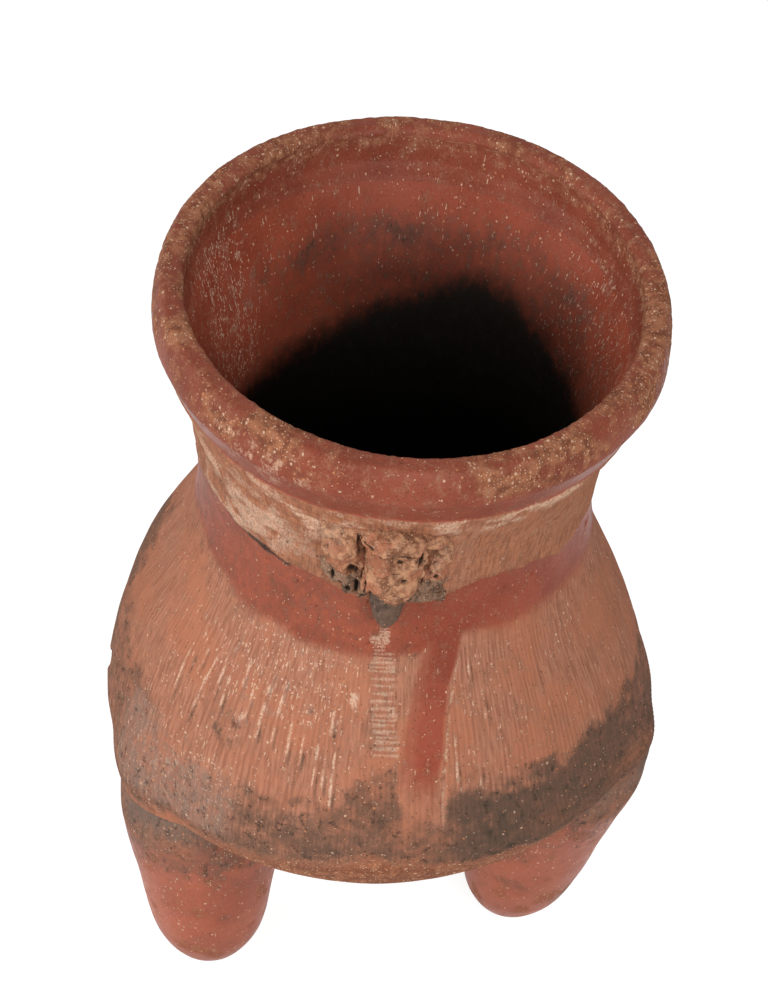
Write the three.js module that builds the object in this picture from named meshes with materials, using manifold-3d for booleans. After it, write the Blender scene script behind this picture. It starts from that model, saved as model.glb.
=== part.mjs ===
// A hand-built tripod jar of low-fired clay: a rounded base, a flaring combed wall, a burnished
// shoulder, a pale collar and a thick everted lip, on three hollow rattle legs, with an eroded
// animal head luted under the lip. Millimetres, +Z up, the front of the jar looks along -Y.
import * as THREE from 'three';
import { mergeVertices } from 'three/addons/utils/BufferGeometryUtils.js';
import Module from 'manifold-3d';

const wasm = await Module();
wasm.setup();

// Driving dimensions of the pot. Rises are measured from the keel, radii to the outer face.
const keelHeight = 75.0;
const keelRadius = 82.0;
const swellRadius = 86.0;
const swellRise = 10.0;
const skirtRadius = 83.4;
const skirtRise = 25.0;
const haunchRadius = 74.2;
const haunchRise = 52.0;
const shoulderRadius = 62.2;
const shoulderRise = 77.5;
const waistRadius = 58.7;
const waistRise = 94.0;
const collarRadius = 59.0;
const collarRise = 107.5;
const flareRadius = 61.8;
const flareRise = 124.5;
const underlipRadius = 68.8;
const underlipRise = 141.0;
const lipRadius = 73.9;
const lipRise = 151.5;
const crownRadius = 70.4;
const crownRise = 161.5;
const mouthRadius = 65.2;
const mouthRise = 160.6;

// Clay thickness of the wall, the neck and the base, and how deep the rounded base hangs.
const wallThickness = 7.4;
const neckThickness = 6.6;
const baseThickness = 8.0;
const baseDepth = 22.0;

// Where one band of clay is luted on the next, and how far each joint slants up inwards.
const shoulderSeamRise = 79.0;
const collarSeamRise = 95.0;
const rimSeamRise = 143.0;
const seamSlant = 3.0;
const seamGap = 0.3;

// The jar leans as it was built: each level is a ring tilted by these angles, in degrees, where
// a positive pitch drops the front and a positive bank drops the right-hand side.
const keelLean = { pitch: -3.0, bank: -3.3 };
const wallLean = { pitch: -0.7, bank: 3.0 };
const rimLean = { pitch: 8.1, bank: 2.2 };
const keelLeanFade = 28.0;
const rimShift = { right: 5.2, back: 2.7 };
const waistShift = { right: -1.5, back: -2.3 };

// Legs: hollow cones with a worn flat foot, a vent slit and a loose clay pellet. The hip swells
// past the keel and is smoothed out up the wall.
const ankleRadius = 17.4;
const ankleHeight = 14.0;
const calfRadius = 22.6;
const calfHeight = 40.0;
const toeRadius = 12.0;
const toeHeight = 4.5;
const footFlatRadius = 6.0;
const hipRadius = 26.2;
const hipDrop = 13.0;
const smearTuck = 0.5;
const legThickness = 5.6;
const hipThickness = 8.6;
const soleThickness = 8.0;
const ventWidth = 5.0;
const ventLength = 20.0;
const ventDrop = 15.0;
const pelletRadius = 4.5;
const pelletClearance = 0.3;
const legPlaces = [
  {
    side: 'left',
    footAzimuth: -52.0,
    footReach: 65.8,
    hipAzimuth: -59.7,
    hipReach: 62.2,
    hipBulge: 6.0,
  },
  {
    side: 'right',
    footAzimuth: 70.5,
    footReach: 48.5,
    hipAzimuth: 72.0,
    hipReach: 61.2,
    hipBulge: 5.0,
  },
  {
    side: 'back',
    footAzimuth: 192.0,
    footReach: 57.0,
    hipAzimuth: 192.0,
    hipReach: 60.0,
    hipBulge: 2.4,
  },
];

// The animal head: sizes across, up and out of the neck, and places from its own centre.
const headAzimuth = 0.5;
const headDrop = 22.5;
const headWidth = 22.0;
const headTall = 29.0;
const headOut = 13.0;
const browWidth = 23.0;
const browTall = 7.0;
const browUp = 8.5;
const browOut = 8.0;
const eyeRadius = 2.2;
const eyeSpread = 7.2;
const beakWidth = 13.0;
const beakTall = 17.0;
const beakOut = 12.0;
const beakDrop = 17.0;
const beakAside = -1.2;
const padWidth = 15.0;
const padTall = 17.0;
const padOut = 8.0;
const padSpread = 13.0;
const brokenPadWidth = 9.0;
const brokenPadTall = 18.0;
const brokenPadOut = 6.0;
const brokenPadSpread = 11.5;
const padUp = 3.5;
const pieceGap = 0.3;

// Facet counts round the pot, round a leg and on a modelled lump.
const potSides = 48;
const legSides = 24;
const lumpSides = 16;
const lumpRings = 10;
const bandSteps = 4;
const ventFacets = 6;

const finishes = {
  combed: { color: 0xa9694b, roughness: 0.85 },
  slipped: { color: 0x8c4433, roughness: 0.55 },
  pale: { color: 0xb99a78, roughness: 0.9 },
  lip: { color: 0x8a4a38, roughness: 0.7 },
  base: { color: 0x8f5a43, roughness: 0.85 },
  leg: { color: 0xa2614e, roughness: 0.6 },
  sandy: { color: 0xa8866a, roughness: 0.95 },
  sooty: { color: 0x3c322c, roughness: 0.8 },
  pellet: { color: 0x9a6a50, roughness: 0.9 },
};

const outerStations = [
  [0, keelRadius],
  [swellRise, swellRadius],
  [skirtRise, skirtRadius],
  [haunchRise, haunchRadius],
  [shoulderRise, shoulderRadius],
  [waistRise, waistRadius],
  [collarRise, collarRadius],
  [flareRise, flareRadius],
  [underlipRise, underlipRadius],
  [lipRise, lipRadius],
];
const thicknessStations = [
  [0, wallThickness],
  [haunchRise, wallThickness],
  [waistRise, neckThickness],
  [flareRise, neckThickness],
  [lipRise, lipRadius - mouthRadius],
];

// Value of a smooth curve through stations of [rise, value].
function along(stations, rise) {
  const last = stations.length - 1;
  let i = 0;
  while (i < last - 1 && rise > stations[i + 1][0]) {
    i += 1;
  }
  const slope = (k) => {
    const a = stations[Math.max(k - 1, 0)];
    const b = stations[Math.min(k + 1, last)];
    return (b[1] - a[1]) / (b[0] - a[0]);
  };
  const [x0, y0] = stations[i];
  const [x1, y1] = stations[i + 1];
  const step = x1 - x0;
  const t = THREE.MathUtils.clamp((rise - x0) / step, 0, 1);
  const ease = t * t * (3 - 2 * t);
  const leave = t * (1 - t) * (1 - t) * step * slope(i);
  const arrive = t * t * (1 - t) * step * slope(i + 1);
  return y0 + (y1 - y0) * ease + leave - arrive;
}

function outerAt(rise) {
  return along(outerStations, rise);
}

function innerAt(rise) {
  return outerAt(rise) - along(thicknessStations, rise);
}

// The lean of the jar, applied to a point of the upright pot.
function lean(point) {
  const rise = point.z - keelHeight;
  const rad = THREE.MathUtils.degToRad;
  const settle = THREE.MathUtils.smoothstep(rise, 0, keelLeanFade);
  const climb = THREE.MathUtils.smoothstep(rise, keelLeanFade, crownRise);
  const stand = THREE.MathUtils.clamp(point.z / keelHeight, 0, 1);
  const tiltAt = (key) => {
    const wall = wallLean[key] + (rimLean[key] - wallLean[key]) * climb;
    return stand * (keelLean[key] * (1 - settle) + wall * settle);
  };
  const height = Math.max((rise - swellRise) / (crownRise - swellRise), 0);
  const bow = 4 * height * (1 - height);
  const pitch = Math.tan(rad(tiltAt('pitch')));
  const bank = Math.tan(rad(tiltAt('bank')));
  const lifted = point.z + point.y * pitch - point.x * bank;
  const right = rimShift.right * height + waistShift.right * bow;
  const back = rimShift.back * height + waistShift.back * bow;
  return new THREE.Vector3(point.x + right, point.y + back, lifted);
}

function weld(geometry) {
  const bare = geometry.clone();
  bare.deleteAttribute('normal');
  bare.deleteAttribute('uv');
  const merged = mergeVertices(bare);
  const index = Array.from(merged.index.array);
  const kept = [];
  for (let i = 0; i < index.length; i += 3) {
    const [a, b, c] = index.slice(i, i + 3);
    if (a !== b && b !== c && c !== a) {
      kept.push(a, b, c);
    }
  }
  merged.setIndex(kept);
  return merged;
}

function toSolid(geometry) {
  const merged = weld(geometry);
  const mesh = new wasm.Mesh({
    numProp: 3,
    vertProperties: new Float32Array(merged.attributes.position.array),
    triVerts: new Uint32Array(merged.index.array),
  });
  return new wasm.Manifold(mesh);
}

function toGeometry(solid) {
  const mesh = solid.getMesh();
  const geometry = new THREE.BufferGeometry();
  geometry.setAttribute('position', new THREE.BufferAttribute(mesh.vertProperties, 3));
  geometry.setIndex(new THREE.BufferAttribute(mesh.triVerts, 1));
  return geometry;
}

// Turn a closed profile of [radius, height] about the vertical axis of the pot or of a leg.
function turned(profile, sides) {
  const points = profile.map(([radius, height]) => new THREE.Vector2(radius, height));
  const geometry = new THREE.LatheGeometry(points, sides);
  return geometry.rotateX(Math.PI / 2);
}

function leaned(geometry) {
  const shape = weld(geometry);
  const place = shape.attributes.position;
  const point = new THREE.Vector3();
  for (let i = 0; i < place.count; i += 1) {
    point.fromBufferAttribute(place, i);
    const moved = lean(point);
    place.setXYZ(i, moved.x, moved.y, moved.z);
  }
  shape.computeVertexNormals();
  return shape;
}

const jar = new THREE.Group();
jar.name = 'footed_jar';

function addPiece(name, geometry, finish) {
  const material = new THREE.MeshStandardMaterial({ ...finishes[finish], metalness: 0 });
  const mesh = new THREE.Mesh(geometry, material);
  mesh.name = name;
  jar.add(mesh);
}

// Evenly spaced rises from one to another, both ends included.
function rises(from, to, steps) {
  return Array.from({ length: steps + 1 }, (unused, i) => from + ((to - from) * i) / steps);
}

// A slanting joint is shared by two bands: the upper one is lifted clear of the lower by a gap.
function seamAt(rise) {
  const outer = outerAt(rise);
  const inner = innerAt(rise + seamSlant);
  const lift = (seamGap * Math.hypot(outer - inner, seamSlant)) / (outer - inner);
  return { rise, lift };
}

// Profile of a band of the wall between two joints, up the outside and down the inside.
function bandProfile(low, high, steps) {
  const outside = rises(low.rise + low.lift, high.rise, steps);
  const inside = rises(low.rise + low.lift + seamSlant, high.rise + seamSlant, steps);
  const profile = outside.map((rise) => [outerAt(rise), keelHeight + rise]);
  inside.reverse().forEach((rise) => profile.push([innerAt(rise), keelHeight + rise]));
  profile.push(profile[0]);
  return profile;
}

const shoulderSeam = seamAt(shoulderSeamRise);
const collarSeam = seamAt(collarSeamRise);
const rimSeam = seamAt(rimSeamRise);

// The rounded base is a cap of a sphere that meets the wall at the keel.
const bowlRadius = (keelRadius * keelRadius + baseDepth * baseDepth) / (2 * baseDepth);
const bowlCentre = keelHeight - baseDepth + bowlRadius;
const bowlInnerRadius = bowlRadius - baseThickness;
const bowlInnerEdge = keelRadius - wallThickness / 2;
const bowlSteps = 7;

function bowlHeight(radius, reach) {
  return bowlCentre - Math.sqrt(radius * radius - reach * reach);
}

function bowlArc(radius, edge) {
  const sweep = Math.asin(edge / radius);
  return rises(0, sweep, bowlSteps).map((angle) => {
    return [radius * Math.sin(angle), bowlCentre - radius * Math.cos(angle)];
  });
}

const keelJoint = {
  outer: [keelRadius, keelHeight],
  inner: [bowlInnerEdge, bowlHeight(bowlInnerRadius, bowlInnerEdge)],
};
const keelRun = keelJoint.outer[0] - keelJoint.inner[0];
const keelLift = (seamGap * Math.hypot(keelRun, keelJoint.inner[1] - keelHeight)) / keelRun;

function addBase() {
  const profile = bowlArc(bowlRadius, keelRadius);
  bowlArc(bowlInnerRadius, bowlInnerEdge).reverse().forEach((point) => profile.push(point));
  addPiece('base_bowl', leaned(turned(profile, potSides)), 'base');
}

// Rises at which the wall's outside is drawn between the keel and the shoulder's joint.
const wallRises = [swellRise / 2, swellRise, swellRise * 2, skirtRise];
wallRises.push((skirtRise + haunchRise) / 2, haunchRise);
wallRises.push((haunchRise + shoulderSeam.rise) / 2);

function addWall() {
  const outside = [keelLift, ...wallRises, shoulderSeam.rise];
  const profile = outside.map((rise) => [outerAt(rise), keelHeight + rise]);
  const innerLow = keelJoint.inner[1] - keelHeight + keelLift;
  const inside = rises(skirtRise, shoulderSeam.rise + seamSlant, bandSteps);
  inside.reverse().forEach((rise) => profile.push([innerAt(rise), keelHeight + rise]));
  profile.push([keelJoint.inner[0], keelHeight + innerLow]);
  profile.push(profile[0]);
  addPiece('body_wall', leaned(turned(profile, potSides)), 'combed');
}

function addRim() {
  const profile = rises(rimSeam.rise + rimSeam.lift, lipRise, bandSteps).map((rise) => {
    return [outerAt(rise), keelHeight + rise];
  });
  const bulge = crownRise - lipRise;
  const brow = lipRadius - crownRadius;
  for (const turn of [Math.PI / 6, Math.PI / 3, Math.PI / 2]) {
    const radius = crownRadius + brow * Math.cos(turn);
    profile.push([radius, keelHeight + lipRise + bulge * Math.sin(turn)]);
  }
  profile.push([mouthRadius, keelHeight + mouthRise]);
  const inside = rises(rimSeam.rise + rimSeam.lift + seamSlant, lipRise, bandSteps);
  inside.reverse().forEach((rise) => profile.push([innerAt(rise), keelHeight + rise]));
  profile.push(profile[0]);
  addPiece('rim_lip', leaned(turned(profile, potSides)), 'lip');
}

function addBands() {
  const shoulder = bandProfile(shoulderSeam, collarSeam, bandSteps);
  addPiece('shoulder_band', leaned(turned(shoulder, potSides)), 'slipped');
  const collar = bandProfile(collarSeam, rimSeam, bandSteps + 1);
  addPiece('neck_collar', leaned(turned(collar, potSides)), 'pale');
}

// The outside of the upright pot, grown by the clearance that luted pieces keep from it.
function grownPot() {
  const outline = bowlArc(bowlRadius, keelRadius);
  const wall = [
    ...wallRises,
    ...rises(shoulderSeam.rise + shoulderSeam.lift, collarSeam.rise, bandSteps),
    ...rises(collarSeam.rise + collarSeam.lift, rimSeam.rise, bandSteps + 1),
    ...rises(rimSeam.rise + rimSeam.lift, lipRise, bandSteps),
  ];
  wall.forEach((rise) => outline.push([outerAt(rise), keelHeight + rise]));
  const grown = outline.map(([radius, height], i) => {
    const before = outline[Math.max(i - 1, 0)];
    const after = outline[Math.min(i + 1, outline.length - 1)];
    const run = after[0] - before[0];
    const climb = after[1] - before[1];
    const length = Math.hypot(run, climb);
    const out = i === 0 ? 0 : (pieceGap * climb) / length;
    return [radius + out, height - (pieceGap * run) / length];
  });
  grown[0] = [0, outline[0][1] - pieceGap];
  grown.push([0, keelHeight + lipRise]);
  return toSolid(turned(grown, potSides));
}

const potBody = grownPot();

// Unit directions at an azimuth, which is counted from the front of the jar towards its right.
function outwards(azimuth) {
  const angle = THREE.MathUtils.degToRad(azimuth);
  return new THREE.Vector3(Math.sin(angle), -Math.cos(angle), 0);
}

const smearRises = [0, ...wallRises.filter((rise) => rise <= skirtRise)];
const hipHeight = keelHeight - hipDrop;
const ventHeight = keelHeight - baseDepth - ventDrop;

// Radii of a leg up its height. Above the keel it follows the wall, and its bulge fades out.
function legStations(place) {
  const smear = smearRises.map((rise) => {
    const bulge = THREE.MathUtils.lerp(place.hipBulge, -smearTuck, rise / skirtRise);
    return [keelHeight + rise, outerAt(rise) + bulge - place.hipReach];
  });
  return [
    [0, footFlatRadius],
    [toeHeight, toeRadius],
    [ankleHeight, ankleRadius],
    [calfHeight, calfRadius],
    [hipHeight, hipRadius],
    ...smear,
  ];
}

// The middle of a leg at a height: a leg leans from its foot to its hip in a straight line.
function legCentre(place, height) {
  const foot = outwards(place.footAzimuth).multiplyScalar(place.footReach);
  const hip = outwards(place.hipAzimuth).multiplyScalar(place.hipReach);
  return foot.lerp(hip, Math.min(height / keelHeight, 1)).setZ(height);
}

// Move each level of an upright leg to its own middle, so that the foot stays flat.
function leaningOut(geometry, place) {
  const spot = geometry.attributes.position;
  for (let i = 0; i < spot.count; i += 1) {
    const centre = legCentre(place, spot.getZ(i));
    spot.setXYZ(i, spot.getX(i) + centre.x, spot.getY(i) + centre.y, centre.z);
  }
  return geometry;
}

function legShell(place) {
  const stations = legStations(place);
  const outside = [0, toeHeight, ankleHeight, (ankleHeight + calfHeight) / 2, calfHeight];
  outside.push((calfHeight + hipHeight) / 2, hipHeight);
  smearRises.forEach((rise) => outside.push(keelHeight + rise));
  const profile = [[0, 0]];
  outside.forEach((height) => profile.push([along(stations, height), height]));
  const inside = rises(soleThickness, keelHeight, bandSteps + 1).reverse();
  inside.forEach((height) => {
    const clay = THREE.MathUtils.lerp(legThickness, hipThickness, height / keelHeight);
    profile.push([along(stations, height) - clay, height]);
  });
  profile.push([0, soleThickness]);
  return leaningOut(turned(profile, legSides), place);
}

// A slit with round ends, cut from the leg's middle through the face that looks under the pot.
function ventCutter(place) {
  const half = ventWidth / 2;
  const run = (ventLength - ventWidth) / 2;
  const slot = new THREE.Shape();
  slot.absarc(0, run, half, 0, Math.PI, false);
  slot.absarc(0, -run, half, Math.PI, 2 * Math.PI, false);
  slot.closePath();
  const cut = { depth: hipRadius * 2, bevelEnabled: false, curveSegments: ventFacets };
  const cutter = new THREE.ExtrudeGeometry(slot, cut);
  const centre = legCentre(place, ventHeight);
  cutter.rotateX(-Math.PI / 2);
  cutter.rotateZ(Math.atan2(centre.x, -centre.y));
  cutter.translate(centre.x, centre.y, centre.z);
  return cutter;
}

// The loose pellet rests on the floor of its leg's hollow, at the middle of the leg.
function pellet(place) {
  const rest = lean(legCentre(place, soleThickness));
  const ball = weld(new THREE.IcosahedronGeometry(pelletRadius, 2));
  return ball.translate(rest.x, rest.y, rest.z + pelletRadius + pelletClearance);
}

function addLegs() {
  legPlaces.forEach((place) => {
    const shell = toSolid(legShell(place)).subtract(potBody);
    const vented = shell.subtract(toSolid(ventCutter(place)));
    addPiece(`leg_${place.side}`, leaned(toGeometry(vented)), 'leg');
  });
  legPlaces.forEach((place) => addPiece(`rattle_pellet_${place.side}`, pellet(place), 'pellet'));
}

const headRise = rimSeamRise - headDrop;

// A lump of clay: a sphere stretched to its width, height and depth, centred on the neck's face.
function lump(across, up, width, tall, deep) {
  const ball = new THREE.SphereGeometry(1, lumpSides, lumpRings);
  ball.scale(width / 2, deep, tall / 2);
  const face = outerAt(headRise + up);
  ball.translate(across, -face, keelHeight + headRise + up);
  ball.rotateZ(THREE.MathUtils.degToRad(headAzimuth));
  return toSolid(ball);
}

function skull(grow) {
  const dome = lump(0, 0, headWidth + grow * 2, headTall + grow * 2, headOut + grow);
  return dome.add(lump(0, browUp, browWidth + grow * 2, browTall + grow * 2, headOut + grow));
}

function beak(grow) {
  return lump(beakAside, -beakDrop, beakWidth + grow * 2, beakTall + grow * 2, beakOut + grow);
}

function eyeHollow(side) {
  const ball = new THREE.SphereGeometry(eyeRadius, lumpSides / 2, lumpRings / 2);
  const face = outerAt(headRise);
  ball.translate(side * eyeSpread, -face - browOut, keelHeight + headRise);
  ball.rotateZ(THREE.MathUtils.degToRad(headAzimuth));
  return toSolid(ball);
}

function addHead() {
  const head = skull(0).subtract(eyeHollow(-1)).subtract(eyeHollow(1));
  addPiece('adorno_head', leaned(toGeometry(head.subtract(potBody))), 'sandy');
  const bill = beak(0).subtract(skull(pieceGap)).subtract(potBody);
  addPiece('adorno_beak', leaned(toGeometry(bill)), 'sooty');
  const solidFace = skull(pieceGap).add(beak(pieceGap)).add(potBody);
  const leftPad = lump(-padSpread, padUp, padWidth, padTall, padOut);
  addPiece('adorno_pad_left', leaned(toGeometry(leftPad.subtract(solidFace))), 'sandy');
  const rightPad = lump(brokenPadSpread, padUp, brokenPadWidth, brokenPadTall, brokenPadOut);
  addPiece('adorno_pad_right', leaned(toGeometry(rightPad.subtract(solidFace))), 'sandy');
}

addBase();
addWall();
addBands();
addRim();
addLegs();
addHead();

export default jar;
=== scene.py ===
"""A hand-built tripod jar of low-fired clay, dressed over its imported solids.

The pot is turned in five bands that share one set of columns, so their borders meet. Lengths are
worked out in millimetres and stored in metres. +Z is up and the front looks along -Y. An azimuth
is counted in degrees from the front towards the jar's right, and a rise from the keel up.
"""

import math

import bmesh
import bpy
import numpy as np
from mathutils import Matrix, Vector


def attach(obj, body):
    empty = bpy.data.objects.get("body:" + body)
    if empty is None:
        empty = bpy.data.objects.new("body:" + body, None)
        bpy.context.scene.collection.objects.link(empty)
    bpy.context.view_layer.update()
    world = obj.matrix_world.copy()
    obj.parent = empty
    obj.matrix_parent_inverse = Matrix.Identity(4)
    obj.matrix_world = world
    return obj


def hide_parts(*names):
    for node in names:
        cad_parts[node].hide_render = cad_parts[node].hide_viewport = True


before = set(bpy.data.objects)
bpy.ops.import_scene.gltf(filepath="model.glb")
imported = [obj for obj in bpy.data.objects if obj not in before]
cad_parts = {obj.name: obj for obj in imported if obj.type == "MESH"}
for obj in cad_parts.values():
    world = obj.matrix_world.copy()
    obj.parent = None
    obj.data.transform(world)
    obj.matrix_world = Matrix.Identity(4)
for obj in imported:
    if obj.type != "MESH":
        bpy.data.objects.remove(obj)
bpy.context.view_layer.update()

MM = 0.001
FULL_TURN = 2 * math.pi

# The pot's form, with the same stations as its solids: [rise, radius] and [rise, thickness].
KEEL_HEIGHT = 75.0
KEEL_RADIUS = 82.0
SWELL_RISE = 10.0
OUTER_STATIONS = np.array([
    (0, KEEL_RADIUS), (SWELL_RISE, 86.0), (25, 83.4), (52, 74.2), (77.5, 62.2),
    (94, 58.7), (107.5, 59.0), (124.5, 61.8), (141, 68.8), (151.5, 73.9),
])
CLAY_STATIONS = np.array([(0, 7.4), (52, 7.4), (94, 6.6), (124.5, 6.6), (151.5, 8.7)])
LIP_RISE = 151.5
LIP_RADIUS = 73.9
CROWN_RISE = 161.5
CROWN_RADIUS = 70.4
MOUTH_RADIUS = 65.2
MOUTH_EDGE = 2.2
MOUTH_LOW = 158.5
SHOULDER_SEAM = 79.0
COLLAR_SEAM = 95.0
RIM_SEAM = 143.0
SEAM_SLANT = 3.0
BASE_DEPTH = 22.0
BASE_THICKNESS = 8.0
BASE_INNER_EDGE = 78.3

# How finely the bands are divided: rows outside, then inside. The wall has two parts outside.
BASE_STEPS = (44, 24)
WALL_STEPS = (46, 57, 22)
WALL_MIDDLE = 45
SHOULDER_STEPS = (28, 6)
COLLAR_STEPS = (72, 23)
LIP_STEPS = (13, 16)
CROWN_STEPS = 15
EDGE_STEPS = 6

# How the jar leans: pitch and bank in degrees at the keel, the wall and the rim.
KEEL_LEAN = (-3.0, -3.3)
WALL_LEAN = (-0.7, 3.0)
RIM_LEAN = (8.1, 2.2)
KEEL_LEAN_FADE = 28.0
RIM_SHIFT = (5.2, 2.7)
WAIST_SHIFT = (-1.5, -2.3)

# The comb: furrows round the wall, with more points across each in the front sector.
COMB_SEED = 11
FRONT_FURROWS = 96
BACK_FURROWS = 192
FRONT_POINTS = 4
BACK_POINTS = 2
FURROW_UNEVEN = 0.22
FURROW_DEPTH = 0.20
JOIN_DISTANCE = 2e-7
POT_SHARP = 55
LEG_SHARP = 50
LUMP_SHARP = 80
UNROLLED_RADIUS = 75.0
FINISHES = ("slip", "pale", "cream", "soot", "sand", "char", "scuff", "furrow")
OUTSIDE = 1.0
INSIDE = 0.0
INNER_WALK = 332.0
SEED_SPREAD = 2654435761
CELL_SPREAD = 0x9E3779B97F4A7C15


def smooth(value, low, high):
    """0 below low, 1 above high, eased between."""
    share = np.clip((value - low) / (high - low), 0, 1)
    return share * share * (3 - 2 * share)


def window(value, low, high, soft):
    return smooth(value, low - soft, low + soft) * (1 - smooth(value, high - soft, high + soft))


def near(value, middle, full, gone):
    """1 up to full away from the middle, 0 from gone away on."""
    return 1 - smooth(np.abs(value - middle), full, gone)


def laid_on(patches, azimuth, rise):
    """Soft-edged patches of the skin, each with its weight, added up."""
    total = np.zeros(len(azimuth))
    for weight, sides, ends in patches:
        total += weight * window(azimuth, *sides) * window(rise, *ends)
    return total


def along(stations, place):
    """Value of a smooth curve through stations of [rise, value]."""
    rises, values = stations.T
    last = len(rises) - 1
    before = np.maximum(np.arange(last + 1) - 1, 0)
    after = np.minimum(np.arange(last + 1) + 1, last)
    slope = (values[after] - values[before]) / (rises[after] - rises[before])
    i = np.clip(np.searchsorted(rises, place, side="left") - 1, 0, last - 1)
    step = rises[i + 1] - rises[i]
    share = np.clip((place - rises[i]) / step, 0, 1)
    ease = share * share * (3 - 2 * share)
    leave = share * (1 - share) ** 2 * step * slope[i]
    arrive = share * share * (1 - share) * step * slope[i + 1]
    return values[i] + (values[i + 1] - values[i]) * ease + leave - arrive


def outer_at(rise):
    return along(OUTER_STATIONS, rise)


def inner_at(rise):
    return outer_at(rise) - along(CLAY_STATIONS, rise)


def lean(points):
    """The lean of the jar, applied to points of the upright pot."""
    across, back, height = points.T
    rise = height - KEEL_HEIGHT
    settle = smooth(rise, 0, KEEL_LEAN_FADE)
    climb = smooth(rise, KEEL_LEAN_FADE, CROWN_RISE)
    stand = np.clip(height / KEEL_HEIGHT, 0, 1)
    tilts = []
    for keel, wall, rim in zip(KEEL_LEAN, WALL_LEAN, RIM_LEAN):
        upper = wall + (rim - wall) * climb
        tilts.append(np.tan(np.radians(stand * (keel * (1 - settle) + upper * settle))))
    share = np.maximum((rise - SWELL_RISE) / (CROWN_RISE - SWELL_RISE), 0)
    bow = 4 * share * (1 - share)
    return np.stack([
        across + RIM_SHIFT[0] * share + WAIST_SHIFT[0] * bow,
        back + RIM_SHIFT[1] * share + WAIST_SHIFT[1] * bow,
        height + back * tilts[0] - across * tilts[1],
    ], axis=1)


def lattice_value(cell, seed):
    """A number from 0 to 1 that belongs to each whole-numbered cell."""
    mixed = np.full(len(cell), (seed * SEED_SPREAD) % 2**64, np.uint64)
    for axis in range(cell.shape[1]):
        mixed = (mixed ^ cell[:, axis].astype(np.uint64)) * np.uint64(CELL_SPREAD)
        mixed ^= mixed >> np.uint64(29)
    return (mixed >> np.uint64(40)).astype(float) / 2**24


def uneven(points, wide, tall, seed, octaves=3):
    """Smooth noise from 0 to 1 at points in millimetres, with lumps this wide and tall."""
    total = np.zeros(len(points))
    weight, whole = 1.0, 0.0
    spots = points / np.array([wide, wide, tall], float)
    for octave in range(octaves):
        cell = np.floor(spots).astype(np.int64)
        part = spots - cell
        ease = part * part * (3 - 2 * part)
        for corner in np.ndindex(2, 2, 2):
            corner = np.array(corner)
            share = np.prod(np.where(corner == 1, ease, 1 - ease), axis=1)
            total += weight * share * lattice_value(cell + corner, seed + octave)
        whole += weight
        weight *= 0.5
        spots = spots * 2.03 + 17.7
    return total / whole


def patchy(points, wide, tall, seed, low, high, octaves=3):
    """Patches from 0 to 1 where the noise is high."""
    return smooth(uneven(points, wide, tall, seed, octaves), low, high)


def lumpy(height, points, wide, tall, seed, octaves=2):
    """Unevenness of a surface, as much up as down."""
    return height * (uneven(points, wide, tall, seed, octaves) - 0.5)


def comb_columns():
    """Azimuth of each column of points round the pot, and its place across its furrow."""
    draw = np.random.default_rng(COMB_SEED)
    half = FRONT_FURROWS // 2
    counts = [FRONT_POINTS] * half + [BACK_POINTS] * BACK_FURROWS + [FRONT_POINTS] * half
    widths = 1 + FURROW_UNEVEN * draw.uniform(-1, 1, len(counts))
    widths *= 360 / widths.sum()
    starts = np.cumsum(widths) - widths
    azimuth, across = [], []
    for start, width, count in zip(starts, widths, counts):
        for step in range(count):
            azimuth.append(start + width * step / count)
            across.append(step / count)
    return np.array(azimuth), np.array(across)


COLUMN_AZIMUTH, COLUMN_ACROSS = comb_columns()
COLUMNS = len(COLUMN_AZIMUTH)

# Where one finish gives way to the next, as (azimuth, rise), and how strong some of them are.
COLLAR_BORDER = [
    (-180, 104), (-120, 107), (-80, 109), (-58, 108.5), (-50, 108), (-40, 107), (-31, 105),
    (-25, 106), (-20, 104), (-10, 101), (5, 100), (11, 100.5), (16, 103), (25, 107), (35, 106),
    (45, 104), (55, 100), (90, 102), (140, 105), (180, 104),
]
BAND_BORDER = [
    (-180, 85), (-100, 86), (-80, 86), (-70, 87), (-60, 85), (-50, 83), (-45, 81.5), (-40, 81),
    (-30, 81), (-20, 79), (-10, 79.5), (0, 80), (9, 81), (18, 86.5), (25, 86), (30, 85.5),
    (60, 85.5), (90, 85),
]
LIP_BORDER = 142.0
BORDER_RAGGED = 3.0
SOOT_TOP = [
    (-180, 38), (-120, 44), (-95, 46), (-80, 46), (-70, 38), (-66, 40), (-61, 40), (-50, 30),
    (-20, 30), (-10, 34), (-3, 46), (4, 46), (6, 31), (14, 31), (16, 41), (30, 41), (33, 39),
    (60, 41), (95, 39), (140, 40), (180, 38),
]
SOOT_FOOT = [
    (-180, 4), (-100, 2), (-40, 5), (-20, 8), (0, 17), (10, 14), (20, 10), (30, 11), (45, 5),
    (70, 2), (180, 4),
]
SOOT_WEIGHT = [
    (-180, 0.7), (-95, 0.6), (-70, 0.5), (-50, 0.5), (-20, 0.6), (-3, 0.7), (4, 0.7),
    (6, 0.65), (16, 0.8), (32, 1.4), (52, 1.4), (64, 0.8), (95, 0.7),
]
# Painted shade inside: below about these rises the inner wall is painted near-black.
SHADE_BORDER = [
    (-180, 119), (-155, 109), (-130, 103), (-110, 101), (-60, 101), (45, 106), (80, 116),
    (110, 119), (155, 129), (180, 119),
]
# How strongly the inside is painted dark higher up, as shade towards the back and right.
INSIDE_SHADE_WEIGHT = [
    (-180, 0.62), (-140, 0.36), (-110, 0), (-60, 0), (50, 0.1), (90, 0.6), (140, 0.68),
    (180, 0.62),
]
STAIN_ROW = [(-180, 134), (-160, 133), (-135, 128), (0, 128), (145, 137), (180, 134)]
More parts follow.
